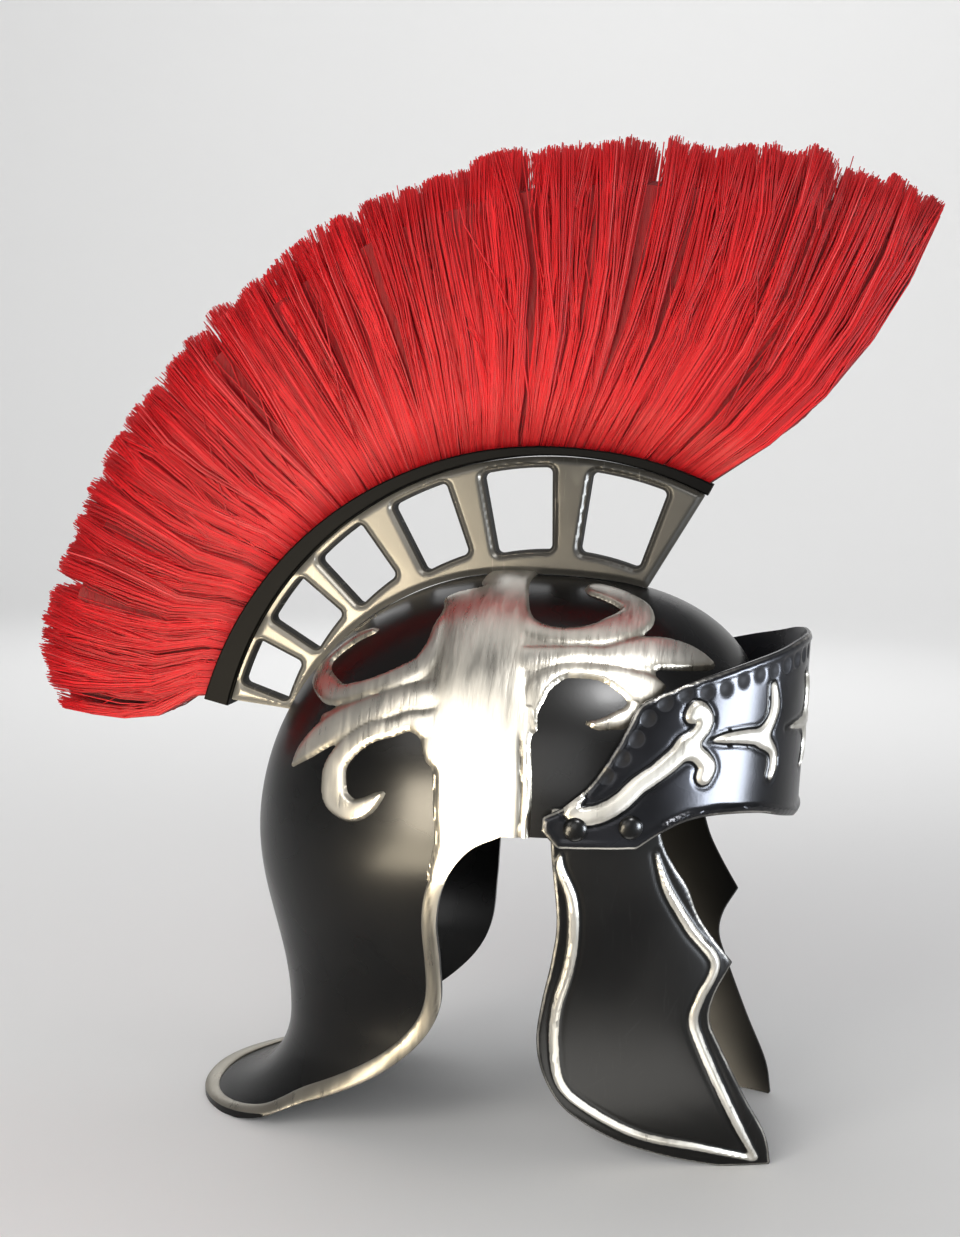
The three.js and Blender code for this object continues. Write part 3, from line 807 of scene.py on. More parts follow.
# from back to front: the angles they lie between, the rim over them and their inner radius
windows = [
    {"from": 163, "to": 154.2, "rim": 2.5, "inner": 130.5},
    {"from": 150.3, "to": 140.6, "rim": 3, "inner": 127},
    {"from": 136.5, "to": 126.2, "rim": 3.5, "inner": 123.5},
    {"from": 120, "to": 109.4, "rim": 4.5, "inner": 118},
    {"from": 103, "to": 90.5, "rim": 5, "inner": 114.5},
    {"from": 83.8, "to": 70.2, "rim": 5.5, "inner": 114.5},
]


def crestPoint(degrees, radius):
    a = np.radians(degrees)
    return crest["x"] + radius * np.cos(a), crest["z"] + radius * np.sin(a)


def domeLine(fromZ, toZ, lift):
    # the skull's middle line in side view, from the back over the crown to the front
    spring = skull["springLine"]
    tall = skull["crownTop"] - spring

    def level(angle, side):
        z = spring + tall * math.sin(angle)
        middle, back, front, _ = skullSection(np.array(float(z)))
        return np.array([middle - back if side < 0 else middle + front, z])

    first, last = (math.asin((z - spring) / tall) for z in (fromZ, toZ))
    line = [level(a, -1) for a in np.linspace(first, math.pi / 2, 40)]
    line += [level(a, 1) for a in np.linspace(math.pi / 2, last, 20)[1:]]
    middle = np.array([skull["middle"], spring])
    return [tuple(p + unit(p - middle) * lift) for p in line]


def holderShape():
    outer = [crestPoint(a, crest["radius"]) for a in np.linspace(crest["rear"], crest["end"], 80)]
    return [*outer, *domeLine(*crest["dome"], crest["gap"])[::-1]]


def windowShape(opening):
    # drawn in by the corner radius, which the distance to it gives back with round corners
    corner = crest["windowCorner"]
    outerRadius = crest["radius"] - opening["rim"] - corner
    innerRadius = opening["inner"] + corner
    drawn = math.degrees(corner / crest["windowRadius"])
    first, last = opening["from"] - drawn, opening["to"] + drawn
    outer = [crestPoint(a, outerRadius) for a in np.linspace(first, last, 9)]
    inner = [crestPoint(a, innerRadius) for a in np.linspace(last, first, 7)]
    return [*outer, *inner]


holderOutline = holderShape()
windowOutlines = [windowShape(w) for w in windows]


def fromWindows(x, z):
    # how far each point lies from the nearest window, negative inside it
    hole = np.full(x.shape, -99.0)
    for outline in windowOutlines:
        hole = np.maximum(hole, outlineDistance(outline, x, z) + crest["windowCorner"])
    return -hole


def makeHolder(material):
    def distance(x, z):
        return np.minimum(outlineDistance(holderOutline, x, z), fromWindows(x, z))

    def half(x, z):
        body = mix(crest["edgeHalf"], crest["half"], ease(distance(x, z) / crest["edgeWide"]))
        return body - crest["lineDepth"] * ridge(fromWindows(x, z), *crest["line"])

    def surface(x, z):
        return np.stack([x, 0 * x, z], axis=-1)

    def marks(x, z):
        return {"hole": fromWindows(x, z)}

    piece = plate("crest_holder_visual", ((-112, 114), (184, 308)), crest["spacing"], distance,
                  surface, half, lambda x, z: -half(x, z), (40, 1000, 200), marks, bothFaces=True)
    smoothShade(piece, 35)
    piece.data.materials.append(material)
    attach(piece, "root")
    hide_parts("crest_holder")


def channelHeight(degrees):
    k = crest
    back = max(0, degrees - k["channelLow"]) / (k["rear"] - k["channelLow"])
    front = max(0, k["channelLow"] - degrees) / (k["channelLow"] - k["end"])
    rise = (k["wallRear"] - k["wallLow"]) * back ** 1.4 + (k["wallFront"] - k["wallLow"]) * front
    return k["wallLow"] + rise


def makeChannel(material):
    base = crest["radius"] + crest["gap"]
    floor = base + crest["channelFloor"]
    out, groove, corner = crest["channelHalf"], crest["grooveHalf"], crest["channelCorner"]
    rings = []
    for degrees in np.linspace(crest["rear"] + 1, crest["end"] - 0.4, 110):
        rim = base + channelHeight(degrees)
        section = [(out - corner, base), (out, base + corner), (out, rim - corner),
                   (out - corner, rim), (groove + corner, rim), (groove, rim - corner),
                   (groove, floor)]
        section += [(-y, r) for y, r in section[::-1]]
        at = [(crestPoint(degrees, r), y) for y, r in section]
        rings.append([(x, y, z) for (x, z), y in at])
    piece = sweep("crest_channel_visual", rings)
    smoothShade(piece, 30)
    piece.data.materials.append(material)
    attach(piece, "root")
    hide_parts("crest_channel")


# Plume

plume = {
    "seed": 7, "strands": 16400, "pieces": 4, "segments": 5, "tufts": 30, "locks": 6,
    "rootHalf": 4.6, "tipHalf": 21, "rootRadius": 159.2, "thickness": (0.36, 0.62),
    "rooted": (0.15, 0.03), "rootEnds": (165.8, 65.4), "tipEnds": (173, 56.8),
    "reach": (254, 306), "cornerShare": 0.06, "corner": 16, "frontTop": 7,
    "curlFrom": 0.55, "curl": 1.6,
    # the core's reach and width as shares of the brush's, and its grid
    "coreReach": 0.89, "coreWide": 0.72, "coreColumns": 120, "coreRows": 30,
    # how much the tufts, the locks in them and the single bristles differ, as shares of a tuft
    # across and of the brush's height along
    "tuftShift": 0.09, "tuftWide": (1.0, 1.2), "tuftLength": 0.013,
    "lockShift": 0.07, "lockLean": 0.24, "lockSway": 0.10, "lockBulge": (0.70, 1.06),
    "lockLength": 0.009, "within": 0.25, "lean": 0.06, "length": 0.004, "kink": 0.012,
    "strays": 0.016, "strayLean": 1.5, "short": 0.06, "shortBy": (0.02, 0.3), "longest": 1.025,
}


def plumePoint(t, s):
    # a point of the brush's middle plane, a share t along the crest and a share s out to the tips
    k = plume
    rooted = mix(*k["rooted"], t)
    spread = 1 - (1 - np.clip((s - rooted) / (1 - rooted), 0, 1)) ** 5
    tipRadius = mix(*k["reach"], ease(t * 0.95)) + k["frontTop"] * ease((t - 0.8) / 0.12)
    tipRadius = tipRadius - k["corner"] * np.maximum(0, 1 - t / k["cornerShare"])
    curl = np.clip((s - k["curlFrom"]) / (1 - k["curlFrom"]), 0, 1.1) ** 2 * ease((t - 0.75) / 0.25)
    degrees = mix(mix(*k["rootEnds"], t), mix(*k["tipEnds"], t), spread) + k["curl"] * curl
    return crestPoint(degrees, mix(k["rootRadius"], tipRadius, s))


def plumeHalf(t, s):
    fullness = 0.55 + 0.45 * rest(np.abs(2 * t - 1), 3)
    rooted = mix(*plume["rooted"], t) + 0.03
    spread = np.clip((s - rooted) / (1 - rooted), 0, 1)
    swell = (plume["tipHalf"] * fullness - plume["rootHalf"]) * np.sin(np.radians(100 * spread))
    close = rest(np.clip((s - 0.86) / 0.2, 0, 1), 2.5)
    return (plume["rootHalf"] + swell) * close


def makeCore(material):
    # the heart of the brush that shows between the tufts, in a darker red that is painted shade for
    # the inside of the brush
    columns, rows = plume["coreColumns"], plume["coreRows"]
    count = 2 * rows + 2

    def place(u, v):
        t = mix(0.012, 0.988, u)
        turn = v * count
        side = np.where(turn <= count / 2, -1, 1)
        s = plume["coreReach"] * np.clip((count / 2 - np.abs(turn - count / 2) - 1) / rows, 0, 1)
        x, z = plumePoint(t, s)
        wave = 1 - 0.16 * (0.5 + 0.5 * np.cos(2 * np.pi * t * plume["tufts"]))
        onMiddle = (turn < 0.5) | (turn > count - 0.5) | (np.abs(turn - count / 2) < 0.5)
        closing = rest(np.abs(2 * u - 1), 6) * np.where(onMiddle, 0, 1)
        y = side * plumeHalf(t, s) * plume["coreWide"] * wave * closing
        return np.stack([x, y, z], axis=-1)

    bm = shapedGrid(columns, count, place)
    weld(bm, 2e-6)
    closeHoles(bm)
    piece = newPiece("plume_core", bm)
    smoothShade(piece, 50)
    piece.data.materials.append(material)
    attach(piece, "root")
    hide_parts("plume")


def makeBristles(material):
    k = plume
    random = np.random.default_rng(k["seed"])
    total, segments = k["strands"], k["segments"]
    tufts, locks = k["tufts"], k["tufts"] * k["locks"]
    tuftShift = random.normal(0, k["tuftShift"], tufts)
    tuftWide = random.uniform(*k["tuftWide"], tufts)
    tuftLength = random.normal(0, k["tuftLength"], tufts)
    # a lock is a strand of hair within a tuft, on one face of the brush
    lockSpot = np.tile((np.arange(k["locks"]) + 0.5) / k["locks"] - 0.5, tufts)
    lockSpot += random.normal(0, k["lockShift"], locks)
    lockLean = random.normal(0, k["lockLean"], locks)
    lockSway = random.normal(0, k["lockSway"], locks)
    lockBulge = random.uniform(*k["lockBulge"], (2, locks))
    lockLength = random.normal(0, k["lockLength"], locks)
    lockTone = random.uniform(0, 1, (2, locks))
    lock = random.integers(0, locks, total)
    tuft = lock // k["locks"]
    face = random.integers(0, 2, total)
    depth = 1 - 0.8 * random.random(total) ** 1.6
    within = np.clip(random.normal(0, k["within"], total), -0.8, 0.8)
    tone = random.random(total)
    stray = random.random(total) < k["strays"]
    lean = np.where(stray, random.normal(0, k["strayLean"], total),
                    random.normal(0, k["lean"], total))
    length = 1.0 + tuftLength[tuft] + lockLength[lock] + random.normal(0, k["length"], total)
    length -= 0.014 * (2 * lockSpot[lock]) ** 2 + 0.012 * (1.6 * within) ** 2
    short = random.random(total) < k["short"]
    length = np.where(short, length - random.uniform(*k["shortBy"], total), length)
    length = np.minimum(length, k["longest"])
    kink = np.cumsum(random.normal(0, k["kink"], (total, segments + 1)), axis=1)
    kink -= kink[:, :1]
    thick = random.uniform(*k["thickness"], total)
    points = np.empty((total, segments + 1, 3))
    for j in range(segments + 1):
        s = length * j / segments
        fan = np.clip((s - 0.04) / 0.7, 0, 1)
        tuftWidth = mix(0.96, 1.25 * tuftWide[tuft], fan ** 0.8)
        lockWidth = mix(1.0, 0.9, ease(s)) * tuftWidth / k["locks"] * 1.9
        across = tuft + 0.5 + tuftShift[tuft] * fan + lockSpot[lock] * tuftWidth
        across += lockLean[lock] * fan ** 1.4 + lockSway[lock] * np.sin(2.2 * np.pi * s)
        across += within * lockWidth + lean * fan ** 1.5 + kink[:, j] * fan
        t = np.clip(across / tufts, 0.001, 0.999)
        x, z = plumePoint(t, s)
        roundLock = np.sqrt(np.clip(1 - (1.1 * within) ** 2, 0.15, 1))
        roundTuft = np.sqrt(np.clip(1 - (1.5 * lockSpot[lock]) ** 2 * (1 - 0.6 * fan), 0.3, 1))
        bulge = mix(1.0, lockBulge[face, lock], fan) * mix(1.0, roundLock, 0.35) * roundTuft
        y = (2 * face - 1) * plumeHalf(t, s) * depth * bulge
        points[:, j] = np.stack([x, y, z], axis=-1)
    # shade is a painted-shade value, lower for bristles deep in the brush and at the sides of their
    # lock; it is stored as outer and the material darkens by it
    shade = depth * mix(0.75, 1.0, np.sqrt(np.clip(1 - (1.2 * within) ** 2, 0, 1)))
    each = total // k["pieces"]
    order = random.permutation(total)
    for n in range(k["pieces"]):
        chosen = order[n * each:(n + 1) * each]
        marks = {"tone": tone[chosen], "lock": lockTone[face, lock][chosen], "outer": shade[chosen]}
        strands(f"bristles_{n + 1}", points[chosen], thick[chosen], marks, material)


def strands(name, points, thick, marks, material):
    # each bristle is a closed, tapered, three-sided tube
    total, rows = points.shape[:2]
    along = unit(np.gradient(points, axis=1))
    across = unit(np.cross(along, [0, 1, 0.01]))
    up = np.cross(along, across)
    share = np.linspace(0, 1, rows)
    radius = thick[:, None] * (1 - 0.45 * share ** 2)[None]
    corners = []
    for turn in (90, 210, 330):
        a = math.radians(turn)
        corners.append(points + (across * math.cos(a) + up * math.sin(a)) * radius[..., None])
    verts = np.stack(corners, axis=2).reshape(-1, 3) * mm
    first = (np.arange(total) * rows * 3)[:, None, None]
    row = (np.arange(rows - 1) * 3)[None, :, None]
    j = np.arange(3)[None, None]
    k = (j + 1) % 3
    quads = np.stack([first + row + j, first + row + k, first + row + 3 + k, first + row + 3 + j],
                     axis=-1).reshape(-1, 4)
    start = np.arange(total)[:, None] * rows * 3
    ends = np.vstack([start + [2, 1, 0], start + (rows - 1) * 3 + [0, 1, 2]])
    mesh = bpy.data.meshes.new(name)
    mesh.vertices.add(len(verts))
    mesh.vertices.foreach_set("co", verts.ravel())
    loops = np.concatenate([quads.ravel(), ends.ravel()])
    mesh.loops.add(len(loops))
    mesh.loops.foreach_set("vertex_index", loops)
    sizes = np.concatenate([np.full(len(quads), 4), np.full(len(ends), 3)])
    mesh.polygons.add(len(sizes))
    mesh.polygons.foreach_set("loop_start", np.concatenate([[0], np.cumsum(sizes)[:-1]]))
    mesh.update(calc_edges=True)
    mesh.validate()
    mesh.shade_smooth()
    each = rows * 3
    for key, values in marks.items():
        setAttribute(mesh, key, np.repeat(values, each))
    setAttribute(mesh, "along", np.tile(np.repeat(share, 3), total))
    piece = bpy.data.objects.new(name, mesh)
    bpy.context.scene.collection.objects.link(piece)
    piece.data.materials.append(material)
    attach(piece, "root")
    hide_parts("plume")


# Rivets

rivet = {
    "headRadius": 5, "headHeight": 3, "headEdge": 0.5, "headInset": 0.4, "shank": 2, "stack": 8.9,
    "innerRadius": 3.8, "innerHeight": 1.6, "turns": 32,
    "seats": {"rear": (68, 157.5), "front": (90, 158.5)},
}


def makeRivet(hand, side, name, seat, material):
    k = rivet
    w, z = np.array([float(bandLength(seat[0]))]), np.array([float(seat[1])])
    at = bandPoint(w, z)[0]
    out = normalsOf(bandPoint, w, z, band["centre"])[0]
    base, inner = crest["gap"], -k["stack"]
    bulge = k["headHeight"] - k["headEdge"]
    head = [(k["headRadius"] * math.cos(a), base + k["headEdge"] + bulge * math.sin(a))
            for a in np.radians(np.linspace(0, 90, 8))]
    profile = [(0, inner - k["innerHeight"]), (k["innerRadius"], inner - k["innerHeight"]),
               (k["innerRadius"], inner), (k["shank"], inner), (k["shank"], base),
               (k["headRadius"] - k["headInset"], base), *head]
    bm = turned([(r * mm, h * mm) for r, h in profile], k["turns"])
    turn = Vector((0, 0, 1)).rotation_difference(Vector(out)).to_matrix()
    bmesh.ops.rotate(bm, verts=bm.verts[:], cent=(0, 0, 0), matrix=turn)
    bmesh.ops.translate(bm, verts=bm.verts[:], vec=Vector(at) * mm)
    if side > 0:
        bmesh.ops.scale(bm, verts=bm.verts[:], vec=(1, -1, 1))
        bmesh.ops.recalc_face_normals(bm, faces=bm.faces[:])
    piece = newPiece(f"rivet_{hand}_{name}_visual", bm)
    smoothShade(piece, 40)
    piece.data.materials.append(material)
    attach(piece, "root")
    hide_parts(f"rivet_{hand}_{name}")


# Materials

def newGroup(name, inputs, outputs):
    group = bpy.data.node_groups.new(name, "ShaderNodeTree")
    for label, kind, value in inputs:
        socket = group.interface.new_socket(label, in_out="INPUT", socket_type=kind)
        if value is not None:
            socket.default_value = value
    for label, kind in outputs:
        group.interface.new_socket(label, in_out="OUTPUT", socket_type=kind)
    start = group.nodes.new("NodeGroupInput")
    end = group.nodes.new("NodeGroupOutput")
    return group, start, end


class Nodes:
    # shortcuts for adding and wiring nodes in one tree
    def __init__(self, tree):
        self.tree = tree

    def add(self, kind, **values):
        node = self.tree.nodes.new(kind)
        for key, value in values.items():
            if hasattr(node, key):
                setattr(node, key, value)
            else:
                node.inputs[key.replace("_", " ")].default_value = value
        return node

    def link(self, start, end):
        self.tree.links.new(start, end)

    def noise(self, vector, scale, detail=2.0, roughness=0.5):
        node = self.add("ShaderNodeTexNoise")
        node.inputs["Scale"].default_value = scale
        node.inputs["Detail"].default_value = detail
        node.inputs["Roughness"].default_value = roughness
        self.link(vector, node.inputs["Vector"])
        return node.outputs["Fac"]

    def band(self, value, low, high, outLow=0.0, outHigh=1.0):
        node = self.add("ShaderNodeMapRange", interpolation_type="SMOOTHSTEP")
        for label, number in (("From Min", low), ("From Max", high), ("To Min", outLow),
                              ("To Max", outHigh)):
            node.inputs[label].default_value = number
        self.link(value, node.inputs["Value"])
        return node.outputs["Result"]

    def math(self, operation, a, b=None):
        node = self.add("ShaderNodeMath", operation=operation)
        for socket, value in zip(node.inputs, (a, b)):
            if isinstance(value, (int, float)):
                socket.default_value = value
            elif value is not None:
                self.link(value, socket)
        return node.outputs[0]

    def blend(self, factor, a, b):
        node = self.add("ShaderNodeMix", data_type="RGBA")
        sockets = [s for s in node.inputs if s.enabled]
        for socket, value in zip(sockets, (factor, a, b)):
            if isinstance(value, (int, float)):
                socket.default_value = value
            elif isinstance(value, tuple):
                socket.default_value = (*value, 1)
            else:
                self.link(value, socket)
        return next(s for s in node.outputs if s.enabled)

    def attribute(self, name):
        node = self.add("ShaderNodeAttribute", attribute_name=name)
        return node.outputs["Fac"]

    def stretched(self, vector, scale, turn=(0, 0, 0)):
        node = self.add("ShaderNodeMapping")
        node.inputs["Scale"].default_value = scale
        node.inputs["Rotation"].default_value = turn
        self.link(vector, node.inputs["Vector"])
        return node.outputs["Vector"]


def makeMottleGroup():
    # soft unevenness of a moulded or painted surface, and the fine bumps that go with it
    group, start, end = newGroup("moulded_unevenness", [
        ("Vector", "NodeSocketVector", None), ("Broad", "NodeSocketFloat", 25.0),
        ("Fine", "NodeSocketFloat", 700.0)],
        [("Patches", "NodeSocketFloat"), ("Height", "NodeSocketFloat")])
    n = Nodes(group)
    broad = n.add("ShaderNodeTexNoise", Detail=3.0)
    n.link(start.outputs["Vector"], broad.inputs["Vector"])
    n.link(start.outputs["Broad"], broad.inputs["Scale"])
    fine = n.add("ShaderNodeTexNoise", Detail=2.0)
    n.link(start.outputs["Vector"], fine.inputs["Vector"])
    n.link(start.outputs["Fine"], fine.inputs["Scale"])
    n.link(n.band(broad.outputs["Fac"], 0.35, 0.65), end.inputs["Patches"])
    height = n.math("ADD", n.math("MULTIPLY", broad.outputs["Fac"], 0.7),
                    n.math("MULTIPLY", fine.outputs["Fac"], 0.12))
    n.link(height, end.inputs["Height"])
    return group


def makeScratchGroup():
    # hairline scratches in two directions, and scuffed patches
    group, start, end = newGroup("scratches", [
        ("Vector", "NodeSocketVector", None), ("Amount", "NodeSocketFloat", 0.5)],
        [("Mask", "NodeSocketFloat")])
    n = Nodes(group)
    masks = []
    for turn, scale in (((0.2, 0.5, 0.9), (38, 900, 38)), ((0.9, -0.3, -0.5), (900, 30, 60))):
        lines = n.noise(n.stretched(start.outputs["Vector"], scale, turn), 1.0, 2.0, 0.6)
        masks.append(n.band(lines, 0.62, 0.72))
    patches = n.band(n.noise(start.outputs["Vector"], 18.0, 3.0), 0.45, 0.7)
    both = n.math("MULTIPLY", n.math("MAXIMUM", *masks), patches)
    n.link(n.math("MULTIPLY", both, start.outputs["Amount"]), end.inputs["Mask"])
    return group


def makeBrushedGroup():
    # the streaks that a brush or a rag leaves in silver paint
    group, start, end = newGroup("brush_streaks", [
        ("Vector", "NodeSocketVector", None)],
        [("Streaks", "NodeSocketFloat"), ("Smears", "NodeSocketFloat")])
    n = Nodes(group)
    fine = n.noise(n.stretched(start.outputs["Vector"], (420, 60, 40), (0, 0.35, 0)), 1.0, 3.0, 0.65)
    smears = n.noise(n.stretched(start.outputs["Vector"], (60, 25, 18), (0, 0.35, 0)), 1.0, 3.0)
    n.link(n.band(fine, 0.3, 0.7), end.inputs["Streaks"])
    n.link(n.band(smears, 0.35, 0.68), end.inputs["Smears"])
    return group


mottle, scratches, brushed = makeMottleGroup(), makeScratchGroup(), makeBrushedGroup()


def startMaterial(name, **constants):
    material = bpy.data.materials.new(name)
    material.use_nodes = True
    n = Nodes(material.node_tree)
    shader = material.node_tree.nodes["Principled BSDF"]
    for key, value in constants.items():
        shader.inputs[key.replace("_", " ")].default_value = value
    place = n.add("ShaderNodeTexCoord").outputs["Object"]
    return material, n, shader, place


def useGroup(n, group, vector, **values):
    node = n.add("ShaderNodeGroup", node_tree=group)
    n.link(vector, node.inputs["Vector"])
    for key, value in values.items():
        node.inputs[key].default_value = value
    return node


def bumped(n, shader, height, strength, distance):
    bump = n.add("ShaderNodeBump")
    bump.inputs["Strength"].default_value = strength
    bump.inputs["Distance"].default_value = distance
    n.link(height, bump.inputs["Height"])
    n.link(bump.outputs["Normal"], shader.inputs["Normal"])


def blackPlastic(name, roughness=0.25, coat=0.02, shine=0.2):
    material, n, shader, place = startMaterial(name, Coat_Roughness=0.12, IOR=1.5,
                                               Specular_IOR_Level=shine)
    uneven = useGroup(n, mottle, place, Broad=16.0, Fine=650.0)
    scratch = useGroup(n, scratches, place, Amount=0.05)
    patches, mask = uneven.outputs["Patches"], scratch.outputs["Mask"]
    base = n.blend(patches, (0.0022, 0.0022, 0.0022), (0.0050, 0.0047, 0.0042))
    n.link(n.blend(mask, base, (0.07, 0.068, 0.065)), shader.inputs["Base Color"])
    rough = n.math("ADD", n.math("MULTIPLY", patches, 0.07), roughness)
    n.link(n.math("ADD", rough, n.math("MULTIPLY", mask, 0.25)), shader.inputs["Roughness"])
    n.link(n.math("MULTIPLY", n.band(patches, 0, 1, 1.0, 0.7), coat), shader.inputs["Coat Weight"])
    bumped(n, shader, uneven.outputs["Height"], 0.25, 0.0006)
    return material


def silverLook(n, place, dark=(0.28, 0.26, 0.22), light=(0.44, 0.415, 0.36)):
    # colour and roughness of the silver paint
    streaks = useGroup(n, brushed, place)
    fine, smears = streaks.outputs["Streaks"], streaks.outputs["Smears"]
    base = n.blend(smears, dark, light)
    base = n.blend(n.math("MULTIPLY", fine, 0.2), base, (0.62, 0.60, 0.55))
    rough = n.math("ADD", n.math("MULTIPLY", fine, 0.10), n.math("MULTIPLY", smears, 0.08))
    return base, n.math("ADD", rough, 0.25), fine


def silverPaint():
    material, n, shader, place = startMaterial("silver_paint", IOR=1.5)
    valley = n.attribute("valley")
    base, rough, fine = silverLook(n, place)
    # painted highlight: the silver is painted lighter on its highest ridges, where they catch the
    # light
    base = n.blend(n.band(n.attribute("raised"), 1.5, 2.5, 0.0, 0.45), base, (0.66, 0.64, 0.59))
    # painted shade: the silver is painted darker towards the edge of each raised shape, where its
    # sides turn away from the light
    rim = n.band(n.attribute("silver"), 0.1, 3.0, 0.65, 0.0)
    base = n.blend(rim, base, (0.22, 0.20, 0.16))
    # painted shade in the valleys between strokes and in the trunk's grooves
    base = n.blend(n.math("MULTIPLY", valley, 0.9), base, (0.09, 0.08, 0.06))
    n.link(base, shader.inputs["Base Color"])
    n.link(rough, shader.inputs["Roughness"])
    n.link(n.band(valley, 0, 1, 0.9, 0.5), shader.inputs["Metallic"])
    bumped(n, shader, fine, 0.18, 0.0003)
    return material


def paintedShell(name, baseLow, baseHigh, metal, roughness, shine=0.2):
    # a black or gunmetal moulding whose raised lines are picked out in silver
    material, n, shader, place = startMaterial(name, IOR=1.5, Specular_IOR_Level=shine)
    uneven = useGroup(n, mottle, place, Broad=16.0, Fine=650.0)
    scratch = useGroup(n, scratches, place, Amount=0.04)
    patches, mask = uneven.outputs["Patches"], scratch.outputs["Mask"]
    wobble = n.math("MULTIPLY", n.math("SUBTRACT", n.noise(place, 220.0, 3.0), 0.5), 0.7)
    inside = n.math("ADD", n.attribute("silver"), wobble)
    edge = n.math("ADD", n.attribute("edge"), wobble)
    # a thin silver line along the plate's edge, partly silver paint and partly painted highlight for
    # the light the rounded edge catches
    edgeLineAndHighlight = n.math("MULTIPLY", n.band(edge, 0.15, 0.4), n.band(edge, 0.9, 1.3, 1.0, 0.0))
    edgeLineAndHighlight = n.math("MULTIPLY", edgeLineAndHighlight, n.band(n.noise(place, 30.0, 3.0), 0.35, 0.6, 0.05, 0.55))
    silverMask = n.math("MAXIMUM", n.band(inside, 0.1, 0.6), edgeLineAndHighlight)
    worn = n.math("MULTIPLY", silverMask, n.band(n.noise(place, 90.0, 4.0, 0.65), 0.24, 0.36))
    base = n.blend(patches, baseLow, baseHigh)
    base = n.blend(mask, base, (0.16, 0.16, 0.165))
    silverBase, silverRough, _ = silverLook(n, place, (0.42, 0.40, 0.35), (0.58, 0.56, 0.51))
    # painted shade: a near-black line just outside each silver stroke, for the shadow in the groove
    # round it
    outline = n.math("MULTIPLY", n.band(inside, -1.3, -0.8), n.band(inside, -0.2, 0.2, 1.0, 0.0))
    base = n.blend(n.math("MULTIPLY", outline, 0.85), base, (0.002, 0.002, 0.002))
    # painted shade: the scallop dents are painted near black, for the shade and lost reflection in
    # them
    dent = n.band(n.math("ADD", n.attribute("scallop"), wobble), 0.4, 1.6)
    base = n.blend(n.math("MULTIPLY", dent, 0.9), base, (0.002, 0.002, 0.003))
    n.link(n.blend(worn, base, silverBase), shader.inputs["Base Color"])
    rough = n.math("ADD", n.math("MULTIPLY", patches, 0.07), roughness)
    rough = n.math("ADD", rough, n.math("MULTIPLY", dent, 0.35))
    both = n.add("ShaderNodeMix", data_type="FLOAT")
    n.link(worn, both.inputs[0])
    n.link(rough, both.inputs[2])
    n.link(silverRough, both.inputs[3])
    n.link(both.outputs[0], shader.inputs["Roughness"])
    n.link(n.band(worn, 0, 1, metal, 0.45), shader.inputs["Metallic"])
    bumped(n, shader, uneven.outputs["Height"], 0.22, 0.0006)
    return material


def cheekPaint():
    return paintedShell("cheek_black", (0.0035, 0.0034, 0.0032), (0.0070, 0.0066, 0.0058), 0.0, 0.30,
                        shine=0.18)


def visorPaint():
    return paintedShell("visor_gunmetal", (0.012, 0.0125, 0.0145), (0.024, 0.025, 0.030), 0.45, 0.22)


def pewterPaint():
    material, n, shader, place = startMaterial("pewter_paint", IOR=1.5, Specular_IOR_Level=0.2)
    uneven = useGroup(n, mottle, place, Broad=22.0, Fine=800.0)
    scratch = useGroup(n, scratches, place, Amount=0.8)
    axis = n.add("ShaderNodeSeparateXYZ")
    n.link(place, axis.inputs[0])
    # painted reflection: the holder is painted pale at the rear and dark at the front, for the bright
    # surroundings its flat sides reflect
    paintedReflectionToFront = n.band(axis.outputs["X"], -0.11, 0.06)
    base = n.blend(paintedReflectionToFront, (0.30, 0.275, 0.225), (0.040, 0.037, 0.031))
    base = n.blend(n.math("MULTIPLY", uneven.outputs["Patches"], 0.15), base, (0.13, 0.12, 0.10))
    # painted shade: a dark line round each window, where its inner wall and the groove beside it are
    # in shade
    line = n.band(n.attribute("hole"), 0.8, 1.5, 1.0, 0.0)
    base = n.blend(n.math("MULTIPLY", line, 0.92), base, (0.012, 0.011, 0.010))
    base = n.blend(n.math("MULTIPLY", scratch.outputs["Mask"], 0.5), base, (0.40, 0.38, 0.33))
    n.link(base, shader.inputs["Base Color"])
    rough = n.band(uneven.outputs["Patches"], 0, 1, 0.30, 0.40)
    n.link(n.math("ADD", rough, n.math("MULTIPLY", line, 0.5)), shader.inputs["Roughness"])
    n.link(n.band(line, 0, 1, 0.15, 0.0), shader.inputs["Metallic"])
    bumped(n, shader, uneven.outputs["Height"], 0.2, 0.0004)
    return material


def bristleStart(name):
    return startMaterial(name, Sheen_Weight=0.04, Sheen_Roughness=0.4, IOR=1.45,
                         Specular_IOR_Level=0.18)


def coreRed():
    material, n, shader, place = bristleStart("bristle_painted_shade")
    streaks = n.noise(n.stretched(place, (500, 500, 90)), 1.0, 2.0)
    # painted shade: the core is a darker red than the bristles, for the shade inside the brush
    base = n.blend(streaks, (0.16, 0.002, 0.004), (0.42, 0.004, 0.008))
    n.link(base, shader.inputs["Base Color"])
    n.link(n.band(streaks, 0.2, 0.8, 0.6, 0.75), shader.inputs["Roughness"])
    bumped(n, shader, streaks, 0.6, 0.002)
    return material


